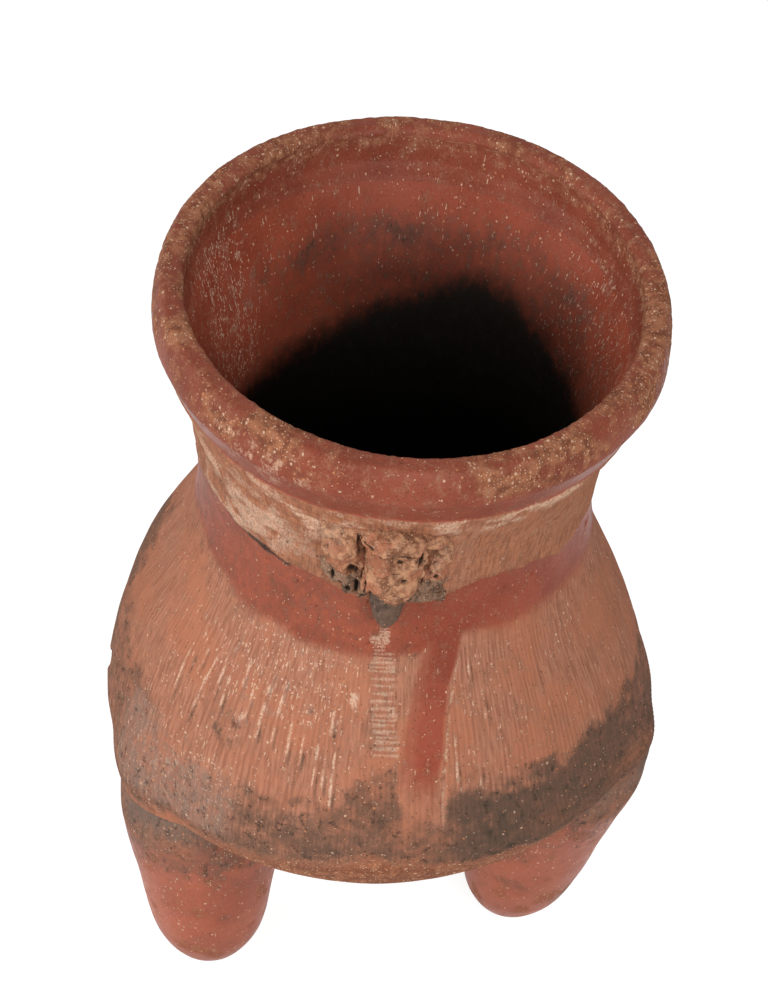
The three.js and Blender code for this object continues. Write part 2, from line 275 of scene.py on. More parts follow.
LIP_WEAR = [
    (-180, 0.45), (-150, 0.5), (-105, 0.8), (-75, 0.7), (-55, 0.4), (-42, 0.75), (-25, 0.7),
    (-14, 0.15), (12, 0.15), (20, 0.95), (38, 0.95), (47, 0.6), (60, 0.95), (90, 0.85),
    (120, 0.5), (180, 0.45),
]
# Lines up the wall, as (rise, azimuth).
STRIPE_LEFT = [(42, 4.5), (50, 5), (60, 6), (70, 7.5), (79, 9.5), (85, 10)]
STRIPE_RIGHT = [(42, 13.5), (50, 14.5), (60, 15.5), (70, 17), (79, 20), (85, 21)]
SCORED_LINE = [(28, 14), (35, 14), (42, 14.5), (48, 15), (55, 15.5), (66, 17), (75, 19), (79, 20.5)]

# Soft patches: weight, then the azimuths and the rises they lie between, each with its softness.
COLLAR_CRUST = [
    (0.75, (-66, -31, 8), (107, 127, 4)), (0.6, (-32, -12, 5), (122, 141, 3)),
    (0.75, (8, 44, 6), (134, 149, 2)),
]
SCUFFED = [
    (0.95, (-40, -9, 7), (57, 79, 5)), (0.12, (-62, 34, 10), (36, 80, 8)),
    (0.08, (34, 120, 20), (20, 84, 10)), (0.75, (-66, -30, 9), (8, 34, 6)),
]
WALL_BULGES = [(1.4, (-125, -66, 20), (40, 62, 14)), (-1.5, (-125, -62, 20), (78, 96, 11))]
LEFT_FRONT = [(1, (-84, 8, 12), (78, 125, 6))]
LADDER_SHADE = [(0.20, (-4, 4.5, 1), (50, 84, 3))]
# A painted highlight: the lip's sheen on its front left, laid on as the cream colour.
LIP_SHEEN = [(0.42, (-46, -22, 5), (146, 158, 3))]

# The scored ladder below the head: (rise, left azimuth, right azimuth) of each rung.
LADDER_RUNGS = [
    (89.5, -2, 1), (88.5, -2, 1), (87.5, -2, 1), (86.2, -4.5, 1), (85.3, -4.5, 1), (84.4, -4.5, 1),
    (83.3, -3, 0), (82.0, -3, 0), (80.8, -3, 2), (79.3, -3, 2.5), (77.9, -3.5, 2.5),
    (76.5, -4, 3), (75.3, -4, 3), (73.0, -3, 3), (71.0, -3, 3), (68.7, -3, 3), (66.5, -3, 3),
    (64.5, -2.5, 3.5), (62.7, -2, 4), (61.3, -2, 4), (59.9, -2, 4), (58.0, -1.5, 4),
    (56.4, -1, 4.5), (55.0, -1, 4.5), (53.0, -1, 4.5), (51.0, -1, 4.5),
]
# Strokes where a pale deposit stayed in the comb marks: (azimuth, top rise, foot rise, drift).
PALE_STROKES = [
    (-52, 61.5, 45, 0), (-50, 66.5, 54, 0), (-47, 62.5, 57, 0), (-43.3, 67, 41, -2.2),
    (-40.8, 61.5, 53, 0), (-38.3, 60, 50, 0), (-40, 69, 67, 0), (-34.5, 67, 59, 0),
    (-31.5, 60, 52, 0), (-27.8, 65, 61, 0), (-27.8, 58, 47, 0), (-24, 67.5, 63, 0),
    (-24, 62, 48, 0), (-20.2, 57, 45, 0), (-17, 53, 44, 0), (-13.5, 51, 37, 0),
    (-11, 62.5, 54.5, 0), (-11.5, 50, 38, 0), (-9.5, 50, 33, 0), (22.5, 77, 73, 0),
    (25.5, 68, 60, 0), (17.5, 56, 42, 0), (22.5, 47, 40, 0),
]
# Round spots: (azimuth, rise, size in millimetres).
PALE_SPOTS = [(-48, 21, 2.2), (-32, 50, 1.6), (-45, 24, 1.2), (-51, 19, 1.0), (-8, 66, 3.0)]
DARK_SPOTS = [
    (-35, 45, 4.6), (-33, 47, 2.6), (-38, 42.5, 2.2), (-16.5, 60, 1.3), (8, 81, 1.0),
    (57, 81, 1.3), (70, 71, 1.2), (74, 85, 1.3), (-15, 29.5, 4.5), (1, 33, 2.6),
]
SPOT_SOFT = 0.6
# A soot smudge on the left side, also painted shade where the left edge turns away: azimuth and
# rise, then degrees across and millimetres up.
SOOT_AND_EDGE_SHADE_PLACE = (-101, 48)
SOOT_AND_EDGE_SHADE_SIZE = (17, 23)

# The notch in the left edge: a groove with this direction across and up the skin.
CHIP_PLACE = (-90.3, 13.0)
CHIP_WAY = (0.755, 0.656)
CHIP_DEPTH = 2.4


def border(place, stations):
    """The value at a place, straight between stations of (place, value)."""
    places, values = np.array(stations, float).T
    return np.interp(place, places, values)


def turned_points(azimuth, reach, height):
    angle = np.radians(azimuth)
    return np.stack([reach * np.sin(angle), -reach * np.cos(angle), height], axis=1)


def turn_from(azimuth, place):
    """Degrees from a place round to an azimuth, the shorter way."""
    return (azimuth - place + 180) % 360 - 180


def spots_of(places, azimuth, rise):
    """1 on round spots of the skin, fading out at their edges."""
    found = np.zeros(len(azimuth))
    for middle, height, size in places:
        across = np.radians(turn_from(azimuth, middle)) * UNROLLED_RADIUS
        away = np.hypot(across, rise - height)
        fade = 1 - smooth(away, size * (1 - SPOT_SOFT), size * (1 + SPOT_SOFT))
        found = np.maximum(found, fade)
    return found


def ladder_marks(azimuth, rise):
    marks = np.zeros(len(azimuth))
    for height, left, right in LADDER_RUNGS:
        height = height + 0.05 * (azimuth - left)
        across = window(azimuth, left, right, 0.5)
        marks = np.maximum(marks, across * near(rise, height, 0.2, 0.62))
    return marks


def scored_line(azimuth, rise):
    middle = border(rise, SCORED_LINE)
    reach = window(rise, SCORED_LINE[0][0], SCORED_LINE[-1][0], 3.0)
    return reach * near(azimuth, middle, 0.05, 0.5)


def stripe_cover(azimuth, rise):
    from_left = azimuth - border(rise, STRIPE_LEFT)
    inside = smooth(from_left, -1.6, 1.2) * (0.62 + 0.38 * smooth(from_left, 1.5, 5))
    inside *= 1 - smooth(azimuth - border(rise, STRIPE_RIGHT), -1.4, 0.9)
    return inside * smooth(rise, 25, 54)


def finishes(count, **shares):
    """Every finish of count points, by name. One that isn't given is 0."""
    return {name: shares.get(name, np.zeros(count)) for name in FINISHES}


def outside_finish(azimuth, rise, where):
    """The finishes of the outer skin as shares from 0 to 1, by name."""
    ragged = uneven(where, 6, 5, 21) - 0.5
    low = border(azimuth, BAND_BORDER) + BORDER_RAGGED * ragged
    high = border(azimuth, COLLAR_BORDER) + BORDER_RAGGED * ragged
    soft = 1 + 1.2 * smooth(azimuth, 14, 40)
    collar = smooth(rise - high, -0.7, 0.7)
    left_front = laid_on(LEFT_FRONT, azimuth, rise)
    band = smooth((rise - low) / soft, -3.2, 2.6) * (1 - collar) * (1 - 0.25 * left_front)
    rim = smooth(rise - (LIP_BORDER + BORDER_RAGGED * ragged), -0.8, 0.8)
    slip = np.maximum(np.maximum(band, rim), stripe_cover(azimuth, rise + 4 * ragged))
    pale = collar * (1 - rim)

    broken = uneven(where, 2.2, 5, 33)
    cream = 0.78 * ladder_marks(azimuth, rise) + 0.5 * scored_line(azimuth, rise)
    soot_line = np.zeros(len(azimuth))
    for place, top, foot, drift in PALE_STROKES:
        middle = place + drift * (top - rise) / (top - foot)
        stroke = near(azimuth, middle, 0.05, 0.46) * window(rise, foot, top, 1.2)
        cream = np.maximum(cream, stroke * (0.15 + 0.95 * smooth(broken, 0.32, 0.62)))
        # Painted shadow beside each stroke's foot, just to its right.
        beside = near(azimuth - middle, 0.75, 0.05, 0.55)
        soot_line = np.maximum(soot_line, beside * window(rise, foot - 3, foot + 5, 2))
    spots = spots_of(PALE_SPOTS, azimuth, rise)
    crust = laid_on(COLLAR_CRUST, azimuth, rise)
    crust += (0.35 - 0.25 * smooth(azimuth, 0, 24)) * window(rise, 108, 141, 4)
    crust += 0.55 * window(rise, 139, 142.5, 1)
    crust *= pale * patchy(where, 7, 6, 41, 0.32, 0.7)
    deposit = 0.8 * spots * patchy(where, 1.8, 2.6, 45, 0.42, 0.6, 2)
    # Painted sheen on the lip, added to the cream share.
    sheen = laid_on(LIP_SHEEN, azimuth, rise) * patchy(where, 4, 3, 43, 0.35, 0.7)
    cream = np.max([cream, crust, deposit, sheen], axis=0)

    top = border(azimuth, SOOT_TOP) + 12 * ragged
    foot = border(azimuth, SOOT_FOOT) + 6 * ragged
    soot = border(azimuth, SOOT_WEIGHT) * (1 - smooth(rise - top, -7, 4))
    soot *= smooth(rise - foot, -4, 3)
    soot *= 0.60 + 0.8 * uneven(where, 8, 9, 51)
    from_edge_shade = np.hypot(
        (azimuth - SOOT_AND_EDGE_SHADE_PLACE[0]) / SOOT_AND_EDGE_SHADE_SIZE[0], (rise - SOOT_AND_EDGE_SHADE_PLACE[1]) / SOOT_AND_EDGE_SHADE_SIZE[1],
    )
    soot_and_edge_shade = 1 - smooth(from_edge_shade + 1.3 * ragged, 0.45, 1.15)
    blots = spots_of(DARK_SPOTS, azimuth, rise) * 0.7 * patchy(where, 1.6, 2.2, 57, 0.44, 0.60)
    seam_soot = window(azimuth, -53, -29, 2) * near(rise - high, -0.6, 0.3, 1.3)
    # The soot share also carries painted shade: the ladder's shade, the dark at the left edge and
    # the shadows beside the strokes.
    soot = np.max([
        soot, laid_on(LADDER_SHADE, azimuth, rise), 0.22 * left_front, 0.85 * soot_and_edge_shade, blots,
        0.95 * seam_soot, 0.6 * soot_line * (1 - slip),
    ], axis=0)

    worn = (1 - smooth(rise - foot, -5, 4)) * (1 - 0.7 * window(azimuth, -84, -36, 8))
    wear = border(azimuth, LIP_WEAR) * (0.35 + 1.1 * patchy(where, 9, 6, 61, 0.3, 0.7))
    sand = np.maximum(0.85 * worn, smooth(rise, 150, 156) * wear)
    scuff = np.maximum(laid_on(SCUFFED, azimuth, rise), 0.15 * smooth(np.abs(azimuth), 80, 120))
    scuff = np.maximum(scuff * (1 - 0.85 * slip), 1.5 * spots) * (1 - 0.7 * pale)
    char = 0.62 * seam_soot * (0.4 + 0.9 * uneven(where, 3, 3, 53))
    return finishes(
        len(azimuth), slip=slip, pale=pale, cream=cream, soot=soot, sand=sand, char=char,
        scuff=scuff,
    )


def inside_finish(azimuth, rise, where):
    """The finishes of the inner skin: burnished red, with painted shade that goes black low down
    and reaches higher at the back and right, and a dark stained row.
    """
    ragged = uneven(where, 9, 6, 71) - 0.5
    flecks = patchy(where, 2.6, 2.6, 73, 0.66, 0.80, 2)
    thick = 0.95 * window(azimuth, -126, -100, 5) + 0.35 * window(azimuth, 78, 128, 10)
    cream = flecks * (0.02 + 0.2 * thick + 0.08 * smooth(rise, 134, 142)) * smooth(rise, 108, 118)
    row = near(rise, border(azimuth, STAIN_ROW), 0, 8)
    row *= 0.3 + 0.7 * patchy(where, 11, 5, 75, 0.3, 0.7)
    row *= 0.15 + 0.85 * smooth(np.abs(azimuth), 95, 140)
    # Painted shade: near-black low inside, and higher up towards the back and right.
    upper_inside_shade = border(azimuth, INSIDE_SHADE_WEIGHT) * (1 - smooth(rise + 6 * ragged, 118, 153))
    char = 1 - smooth(rise - border(azimuth, SHADE_BORDER) - 5 * ragged, -13, 15)
    return finishes(
        len(azimuth), slip=np.ones(len(azimuth)), cream=cream, soot=0.46 * row,
        sand=smooth(rise, 153, 158) * border(azimuth, LIP_WEAR),
        char=np.maximum(char, upper_inside_shade + 0.12 * row),
        scuff=0.9 * thick * window(rise, 104, 150, 5) + 0.07 * smooth(rise, 120, 134) + 0.08 * row,
    )


# Legs, as in the solids: foot and hip places, and how the hip swells past the keel.
LEG_PLACES = {
    "left": {"foot": (-52.0, 65.8), "hip": (-59.7, 62.2), "bulge": 6.0, "smear": 0.1},
    "right": {"foot": (70.5, 48.5), "hip": (72.0, 61.2), "bulge": 5.0, "smear": 1.5},
    "back": {"foot": (192.0, 57.0), "hip": (192.0, 60.0), "bulge": 2.4, "smear": 0.3},
}
LEG_STATIONS = [(0, 6.0), (4.5, 12.0), (14, 17.4), (40, 22.6), (62, 26.2)]
SMEAR_RISES = (0, 5, 10, 20, 25)
SMEAR_TOP = 25.0
SMEAR_TUCK = 0.5
SMEAR_ROUND = 1.3
HIP_TURN = 1.2
HIP_ASIDE = -9
FOOT_CLAY = 5.6
HIP_CLAY = 8.6
SOLE = 8.0
LEG_TOP = KEEL_HEIGHT + 3
TOP_TUCK = 2.5
LEG_STEPS = (6, 9, 56)
HOLLOW_STEPS = 18
LEG_COLUMNS = 120
FORMER_COLUMNS = 180
JOINT_BITE = 0.8
VENT_WIDTH = 5.0
VENT_LENGTH = 20.0
VENT_HEIGHT = 38.0
VENT_REACH = 52.0
PELLET_RADIUS = 4.5
PELLET_GAP = 0.3
PELLET_SEED = 120


def hip_bulge(place, share):
    """How far a leg's hip stands out, a share of the way up the clay smeared over it."""
    return place["bulge"] * (1 - share) - SMEAR_TUCK * share


def hip_swell(azimuth, rise):
    """How far the wall swells over the legs' hips at the keel, smoothed out up the wall."""
    swell = np.zeros(len(azimuth))
    plain = outer_at(np.maximum(rise, 0))
    share = np.clip(rise / SMEAR_TOP, 0, 1)
    for place in LEG_PLACES.values():
        hip_azimuth, hip_reach = place["hip"]
        turn = np.radians(turn_from(azimuth, hip_azimuth))
        radius = plain + hip_bulge(place, share) - hip_reach
        half = np.sqrt(np.maximum(radius**2 - (hip_reach * np.sin(turn)) ** 2, 0))
        proud = hip_reach * np.cos(turn) + half - plain
        proud = np.where(np.abs(turn) < HIP_TURN, proud, HIP_ASIDE)
        rounded = SMEAR_ROUND * np.logaddexp(0, np.maximum(proud, HIP_ASIDE) / SMEAR_ROUND)
        swell += rounded * (1 - smooth(rise, SMEAR_TOP * 0.6, SMEAR_TOP * 1.3))
    return swell * smooth(rise, -5, 0)


def chip_depth(azimuth, rise):
    across = np.radians(azimuth - CHIP_PLACE[0]) * UNROLLED_RADIUS
    upward = rise - CHIP_PLACE[1]
    ahead = CHIP_WAY[0] * across + CHIP_WAY[1] * upward
    aside = CHIP_WAY[1] * across - CHIP_WAY[0] * upward
    return CHIP_DEPTH * near(aside, 0, 0.9, 2.6) * near(ahead, 0, 5, 13)


def outside_relief(azimuth, rise, where, across, finish):
    """How far the outer skin stands out from the plain form, in millimetres."""
    pale = finish["pale"]
    relief = lumpy(1.1, where, 38, 30, 81) + lumpy(0.35, where, 9, 7, 83)
    combed = (1 - finish["slip"]) * (1 - pale) * smooth(rise, 1.5, 7)
    combed *= 0.35 + 0.9 * uneven(where, 14, 18, 85, 2)
    combed *= 1 - window(azimuth, -4.6, 5.2, 0.6) * smooth(rise, 46, 52)
    furrow = combed * (0.5 + 0.5 * np.cos(FULL_TURN * across))
    # Painted shade darkens the furrows' valleys.
    finish["furrow"] = furrow * patchy(where, 3, 16, 99, 0.25, 0.6, 2)
    relief -= FURROW_DEPTH * furrow
    relief -= 0.5 * ladder_marks(azimuth, rise) + 0.45 * scored_line(azimuth, rise)
    relief += 0.45 * pale * patchy(where, 5, 4, 87, 0.2, 0.5)
    grooved = pale * (1 - 0.75 * smooth(azimuth, -8, 8))
    relief -= 0.5 * grooved * patchy(where, 16, 1.1, 89, 0.55, 0.8, 2)
    relief += 0.35 * finish["cream"] * pale
    relief += smooth(rise, 149, 154) * lumpy(0.55, where, 1.6, 1.3, 91)
    relief -= 0.8 * patchy(where, 2.6, 2.2, 93, 0.80, 0.88, 2)
    relief += laid_on(WALL_BULGES, azimuth, rise) + hip_swell(azimuth, rise)
    return relief - chip_depth(azimuth, rise)


def inside_relief(azimuth, rise, where, across, finish):
    """The same for the inner skin, which no comb has touched."""
    relief = lumpy(0.8, where, 30, 12, 95)
    relief -= 0.07 * patchy(where, 20, 1.6, 97, 0.55, 0.8, 2)
    return relief + smooth(rise, 152, 158) * lumpy(0.5, where, 1.6, 1.3, 91)


def outer_row(rise):
    return (float(outer_at(rise)), KEEL_HEIGHT + rise, rise, OUTSIDE, rise)


def inner_row(rise):
    return (float(inner_at(rise)), KEEL_HEIGHT + rise, rise, INSIDE, INNER_WALK - rise)


def mouth_row(rise):
    """A row inside the lip, where the clay is rounded off towards the neck."""
    round_off = 0.5 * math.exp(-(((rise - LIP_RISE) / 4.5) ** 2)) * float(smooth(rise, 146, 150))
    row = inner_row(rise)
    return (row[0] - round_off,) + row[1:]


def band_rows(low, high, outer_steps, inner_steps):
    """Rows of a band, up the outside and down the inside: radius, height, rise, side, walk."""
    rows = [outer_row(rise) for rise in np.linspace(low, high, outer_steps)]
    inside = np.linspace(low + SEAM_SLANT, high + SEAM_SLANT, inner_steps)
    return rows + [inner_row(rise) for rise in inside[::-1]]


def base_curve():
    radius = (KEEL_RADIUS**2 + BASE_DEPTH**2) / (2 * BASE_DEPTH)
    return radius, KEEL_HEIGHT - BASE_DEPTH + radius


def base_arc(radius, edge, steps, side):
    centre = base_curve()[1]
    rows = []
    for angle in np.linspace(0, math.asin(edge / radius), steps):
        height = centre - radius * math.cos(angle)
        walk = radius * (angle - math.asin(edge / radius))
        rows.append((radius * math.sin(angle), height, height - KEEL_HEIGHT, side, walk))
    return rows


def crown_rows():
    """Rows over the lip's crown and round the edge of the mouth."""
    corner = MOUTH_RADIUS + MOUTH_EDGE
    course = []
    for angle in np.linspace(0, math.pi / 2, CROWN_STEPS)[1:]:
        radius = CROWN_RADIUS + (LIP_RADIUS - CROWN_RADIUS) * math.cos(angle)
        course.append((radius, LIP_RISE + (CROWN_RISE - LIP_RISE) * math.sin(angle)))
    flat = np.linspace(CROWN_RADIUS, corner, EDGE_STEPS)[1:-1]
    course += [(radius, CROWN_RISE) for radius in flat]
    for angle in np.linspace(0, math.pi / 2, EDGE_STEPS):
        rise = CROWN_RISE - MOUTH_EDGE * (1 - math.cos(angle))
        course.append((corner - MOUTH_EDGE * math.sin(angle), rise))
    rows = [outer_row(LIP_RISE)]
    for radius, rise in course:
        before = rows[-1]
        step = math.hypot(radius - before[0], KEEL_HEIGHT + rise - before[1])
        rows.append((radius, KEEL_HEIGHT + rise, rise, OUTSIDE, before[4] + step))
    return rows[1:]


def mesh_of(shape, name):
    """The shape as a mesh. The shape itself is let go."""
    mesh = bpy.data.meshes.new(name)
    shape.to_mesh(mesh)
    shape.free()
    return mesh


def linked(name, data):
    made = bpy.data.objects.new(name, data)
    bpy.context.scene.collection.objects.link(made)
    return made


def rolled_grid(name, rows, closed, columns):
    """A flat grid ready to be turned, and the column and row that each of its points stands for."""
    high = len(rows) if closed else len(rows) - 1
    shape = bmesh.new()
    bmesh.ops.create_grid(shape, x_segments=columns, y_segments=high, size=1)
    mesh = mesh_of(shape, name)
    points = read_points(mesh)
    column = np.round((points[:, 0] + 1) / 2 * columns).astype(int) % columns
    row = np.round((points[:, 1] + 1) / 2 * high).astype(int) % len(rows)
    return mesh, column, row


def close_up(mesh):
    """Join the grid's edges where they meet, and turn its faces outwards."""
    shape = bmesh.new()
    shape.from_mesh(mesh)
    bmesh.ops.remove_doubles(shape, verts=shape.verts[:], dist=JOIN_DISTANCE)
    bmesh.ops.recalc_face_normals(shape, faces=shape.faces[:])
    shape.to_mesh(mesh)
    shape.free()
    mesh.update()


def read_points(mesh):
    flat = np.zeros(len(mesh.vertices) * 3, np.float32)
    mesh.vertices.foreach_get("co", flat)
    return flat.reshape(-1, 3).astype(float)


def write_points(mesh, points):
    mesh.vertices.foreach_set("co", points.astype(np.float32).ravel())
    mesh.update()


def keep_shares(mesh, shares):
    for name, values in shares.items():
        found = mesh.attributes.new(name, "FLOAT", "POINT")
        found.data.foreach_set("value", np.clip(values, 0, 1).astype(np.float32))


def keep_places(mesh, places):
    found = mesh.attributes.new("unrolled", "FLOAT_VECTOR", "POINT")
    found.data.foreach_set("vector", places.astype(np.float32).ravel())


def shown_piece(mesh, name, sharp_angle):
    mesh.shade_smooth()
    mesh.set_sharp_from_angle(angle=math.radians(sharp_angle))
    return linked(name, mesh)


def facing(rows):
    """Which way each skin looks at each row: outwards and upwards."""
    table = np.array(rows)
    run = np.zeros((len(rows), 2))
    for side in (OUTSIDE, INSIDE):
        skin = table[:, 3] == side
        if skin.any():
            run[skin] = np.gradient(table[skin, :2], axis=0)
    run /= np.linalg.norm(run, axis=1)[:, None]
    return run[:, 1], -run[:, 0]


def pot_piece(name, rows, closed):
    """One band of the pot, with its relief and its finishes."""
    mesh, column, row = rolled_grid(name, rows, closed, COLUMNS)
    reach, height, rise, side, walk = np.array(rows)[row].T
    out, up = (way[row] for way in facing(rows))
    azimuth = turn_from(COLUMN_AZIMUTH[column], 0)
    where = turned_points(azimuth, UNROLLED_RADIUS, walk)
    relief = np.zeros(len(row))
    finish = finishes(len(row))
    for face, finish_of, relief_of in (
        (OUTSIDE, outside_finish, outside_relief), (INSIDE, inside_finish, inside_relief),
    ):
        skin = side == face
        if skin.any():
            place = azimuth[skin], rise[skin], where[skin]
            part = finish_of(*place)
            relief[skin] = relief_of(*place, COLUMN_ACROSS[column[skin]], part)
            for key in FINISHES:
                finish[key][skin] = part[key]
    relief *= smooth(reach, 1, 12)
    shaped = turned_points(azimuth, reach + relief * out, height + relief * up)
    write_points(mesh, lean(shaped) * MM)
    keep_shares(mesh, finish)
    keep_places(mesh, where)
    close_up(mesh)
    return shown_piece(mesh, name, POT_SHARP)


def outwards(azimuth, reach):
    angle = math.radians(azimuth)
    return np.array([math.sin(angle) * reach, -math.cos(angle) * reach])


def leg_centres(place, heights):
    share = np.clip(heights / KEEL_HEIGHT, 0, 1)[:, None]
    foot = outwards(*place["foot"])
    return foot + (outwards(*place["hip"]) - foot) * share


def leg_radii(place):
    smear = []
    for rise in SMEAR_RISES:
        radius = float(outer_at(rise)) + hip_bulge(place, rise / SMEAR_TOP) - place["hip"][1]
        smear.append((KEEL_HEIGHT + rise, radius))
    return np.array(LEG_STATIONS + smear, float)


def leg_rows(place):
    """Rows of a leg, up its outside and down its hollow: radius, height, side."""
    radii = leg_radii(place)
    heights = np.concatenate([
        np.linspace(0, 4.5, LEG_STEPS[0]), np.linspace(4.5, 14, LEG_STEPS[1])[1:],
        np.linspace(14, LEG_TOP, LEG_STEPS[2])[1:],
    ])
    outer = along(radii, heights) - TOP_TUCK * smooth(heights, KEEL_HEIGHT - 1, LEG_TOP)
    rows = [(0.0, 0.0, OUTSIDE), (3.0, 0.0, OUTSIDE)]
    rows += [(reach, height, OUTSIDE) for reach, height in zip(outer, heights)]
    for height in np.linspace(KEEL_HEIGHT, SOLE, HOLLOW_STEPS):
        clay = FOOT_CLAY + (HIP_CLAY - FOOT_CLAY) * height / KEEL_HEIGHT
        rows.append((float(along(radii, height)) - clay, height, INSIDE))
    return rows + [(0.0, SOLE, INSIDE)]


def finished(piece):
    """The piece's mesh with its modifiers applied. The piece itself is removed."""
    depsgraph = bpy.context.evaluated_depsgraph_get()
    mesh = bpy.data.meshes.new_from_object(piece.evaluated_get(depsgraph))
    bpy.data.objects.remove(piece)
    return mesh


def cut_away(piece, cutters):
    for cutter in cutters:
        cut = piece.modifiers.new(cutter.name, "BOOLEAN")
        cut.operation = "DIFFERENCE"
        cut.solver = "EXACT"
        cut.object = cutter
    return finished(piece)


def pot_former():
    """A plain solid pot, a little smaller than the real one, that the legs are cut to."""
    rows = base_arc(base_curve()[0], KEEL_RADIUS, 24, OUTSIDE)
    rows += [outer_row(rise) for rise in np.linspace(1, 36, 36)]
    rows.append((0.0, rows[-1][1], 0.0, OUTSIDE, 0.0))
    mesh, column, row = rolled_grid("pot_former", rows, False, FORMER_COLUMNS)
    reach, height = np.array(rows)[row, :2].T
    inner = np.maximum(reach - JOINT_BITE, 0)
    write_points(mesh, turned_points(column * 360 / FORMER_COLUMNS, inner, height + JOINT_BITE))
    close_up(mesh)
    return linked("pot_former", mesh)


def vent_former(place):
    """A bar with round sides that cuts the slit in the leg's inner face."""
    shape = bmesh.new()
    bmesh.ops.create_cone(
        shape, cap_ends=True, segments=48, radius1=VENT_WIDTH / 2, radius2=VENT_WIDTH / 2,
        depth=VENT_REACH,
    )
    lay = Matrix.Translation((0, VENT_REACH / 2, 0)) @ Matrix.Rotation(math.pi / 2, 4, "X")
    bmesh.ops.transform(shape, matrix=lay, verts=shape.verts[:])
    for point in shape.verts:
        point.co.z += math.copysign((VENT_LENGTH - VENT_WIDTH) / 2, point.co.z)
    across, back = leg_centres(place, np.array([VENT_HEIGHT]))[0]
    turn = Matrix.Rotation(math.atan2(across, -back), 4, "Z")
    set_in = Matrix.Translation((across, back, VENT_HEIGHT)) @ turn
    bmesh.ops.transform(shape, matrix=set_in, verts=shape.verts[:])
    bmesh.ops.recalc_face_normals(shape, faces=shape.faces[:])
    return linked("vent_former", mesh_of(shape, "vent_former"))


def leg_finish(points, place):
    """Finishes of a leg: burnished slip, clay smeared down from the wall, soot with painted shade
    towards the top under the keel, and a worn foot.
    """
    height = points[:, 2]
    way = outwards(place["hip"][0], 1.0)
    out = (points[:, :2] - leg_centres(place, height)) @ way
    spread = uneven(points, 16, 11, 101) - 0.5
    # Soot with painted shade: darker towards the top of the leg, under the keel.
    soot = 0.85 * smooth(height + 26 * spread, 36, 74)
    soot = np.maximum(soot, 0.6 * patchy(points, 22, 15, 103, 0.60, 0.75))
    worn = 1 - smooth(height + 3 * spread, 1, 6)
    sand = np.maximum(worn, 0.5 * patchy(points, 7, 7, 107, 0.55, 0.72, 2))
    smeared = smooth(height + 8 * spread, 52, 68) * smooth(out, 6, 19)
    return finishes(
        len(points), slip=1 - 0.85 * smeared, soot=soot, sand=sand, scuff=0.06 + 0.4 * soot,
    )


def leg_piece(side, former):
    place = LEG_PLACES[side]
    rows = leg_rows(place)
    mesh, column, row = rolled_grid("leg_shell", rows, False, LEG_COLUMNS)
    reach, height, outside = np.array(rows)[row].T
    points = turned_points(column * 360 / LEG_COLUMNS, reach, height)
    shifted = points + 200
    swell = lumpy(0.9, shifted, 20, 24, 109) + lumpy(0.25, shifted, 6, 6, 111)
    swell *= outside * smooth(height, 2, 12) * (1 - smooth(height, 70, 96))
    reach = np.maximum(np.hypot(points[:, 0], points[:, 1]), 1)
    ahead = points[:, :2] @ outwards(place["hip"][0], 1.0) / reach
    swell += place["smear"] * outside * smooth(height, 48, 68) * smooth(ahead, 0.2, 0.8)
    points[:, :2] *= (1 + swell / reach)[:, None]
    points[:, :2] += leg_centres(place, height)
    write_points(mesh, points)
    close_up(mesh)
    vent = vent_former(place)
    mesh = cut_away(linked("leg_shell", mesh), [former, vent])
    bpy.data.objects.remove(vent)
    mesh.name = f"clay_leg_{side}"
    points = read_points(mesh)
    keep_shares(mesh, leg_finish(points, place))
    keep_places(mesh, points)
    write_points(mesh, lean(points) * MM)
    return shown_piece(mesh, f"clay_leg_{side}", LEG_SHARP)


def pellet_piece(side):
    """A loose ball of clay, rolled in the hand, on the floor of its leg."""
    foot = leg_centres(LEG_PLACES[side], np.array([SOLE]))[0]
    rest = lean(np.array([[foot[0], foot[1], SOLE]]))[0]
    rest[2] += PELLET_RADIUS + PELLET_GAP
    shape = bmesh.new()
    bmesh.ops.create_icosphere(shape, subdivisions=4, radius=PELLET_RADIUS)
    mesh = mesh_of(shape, f"pellet_{side}")
    points = read_points(mesh)
    seed = PELLET_SEED + len(side)
    dents = 0.30 * uneven(points + 90, 4, 4, seed, 2)
    dents += 0.08 * uneven(points + 90, 1, 1, seed, 2)
    points *= (1 - dents / PELLET_RADIUS)[:, None]
    write_points(mesh, (points + rest) * MM)
    return shown_piece(mesh, f"loose_pellet_{side}", LUMP_SHARP)


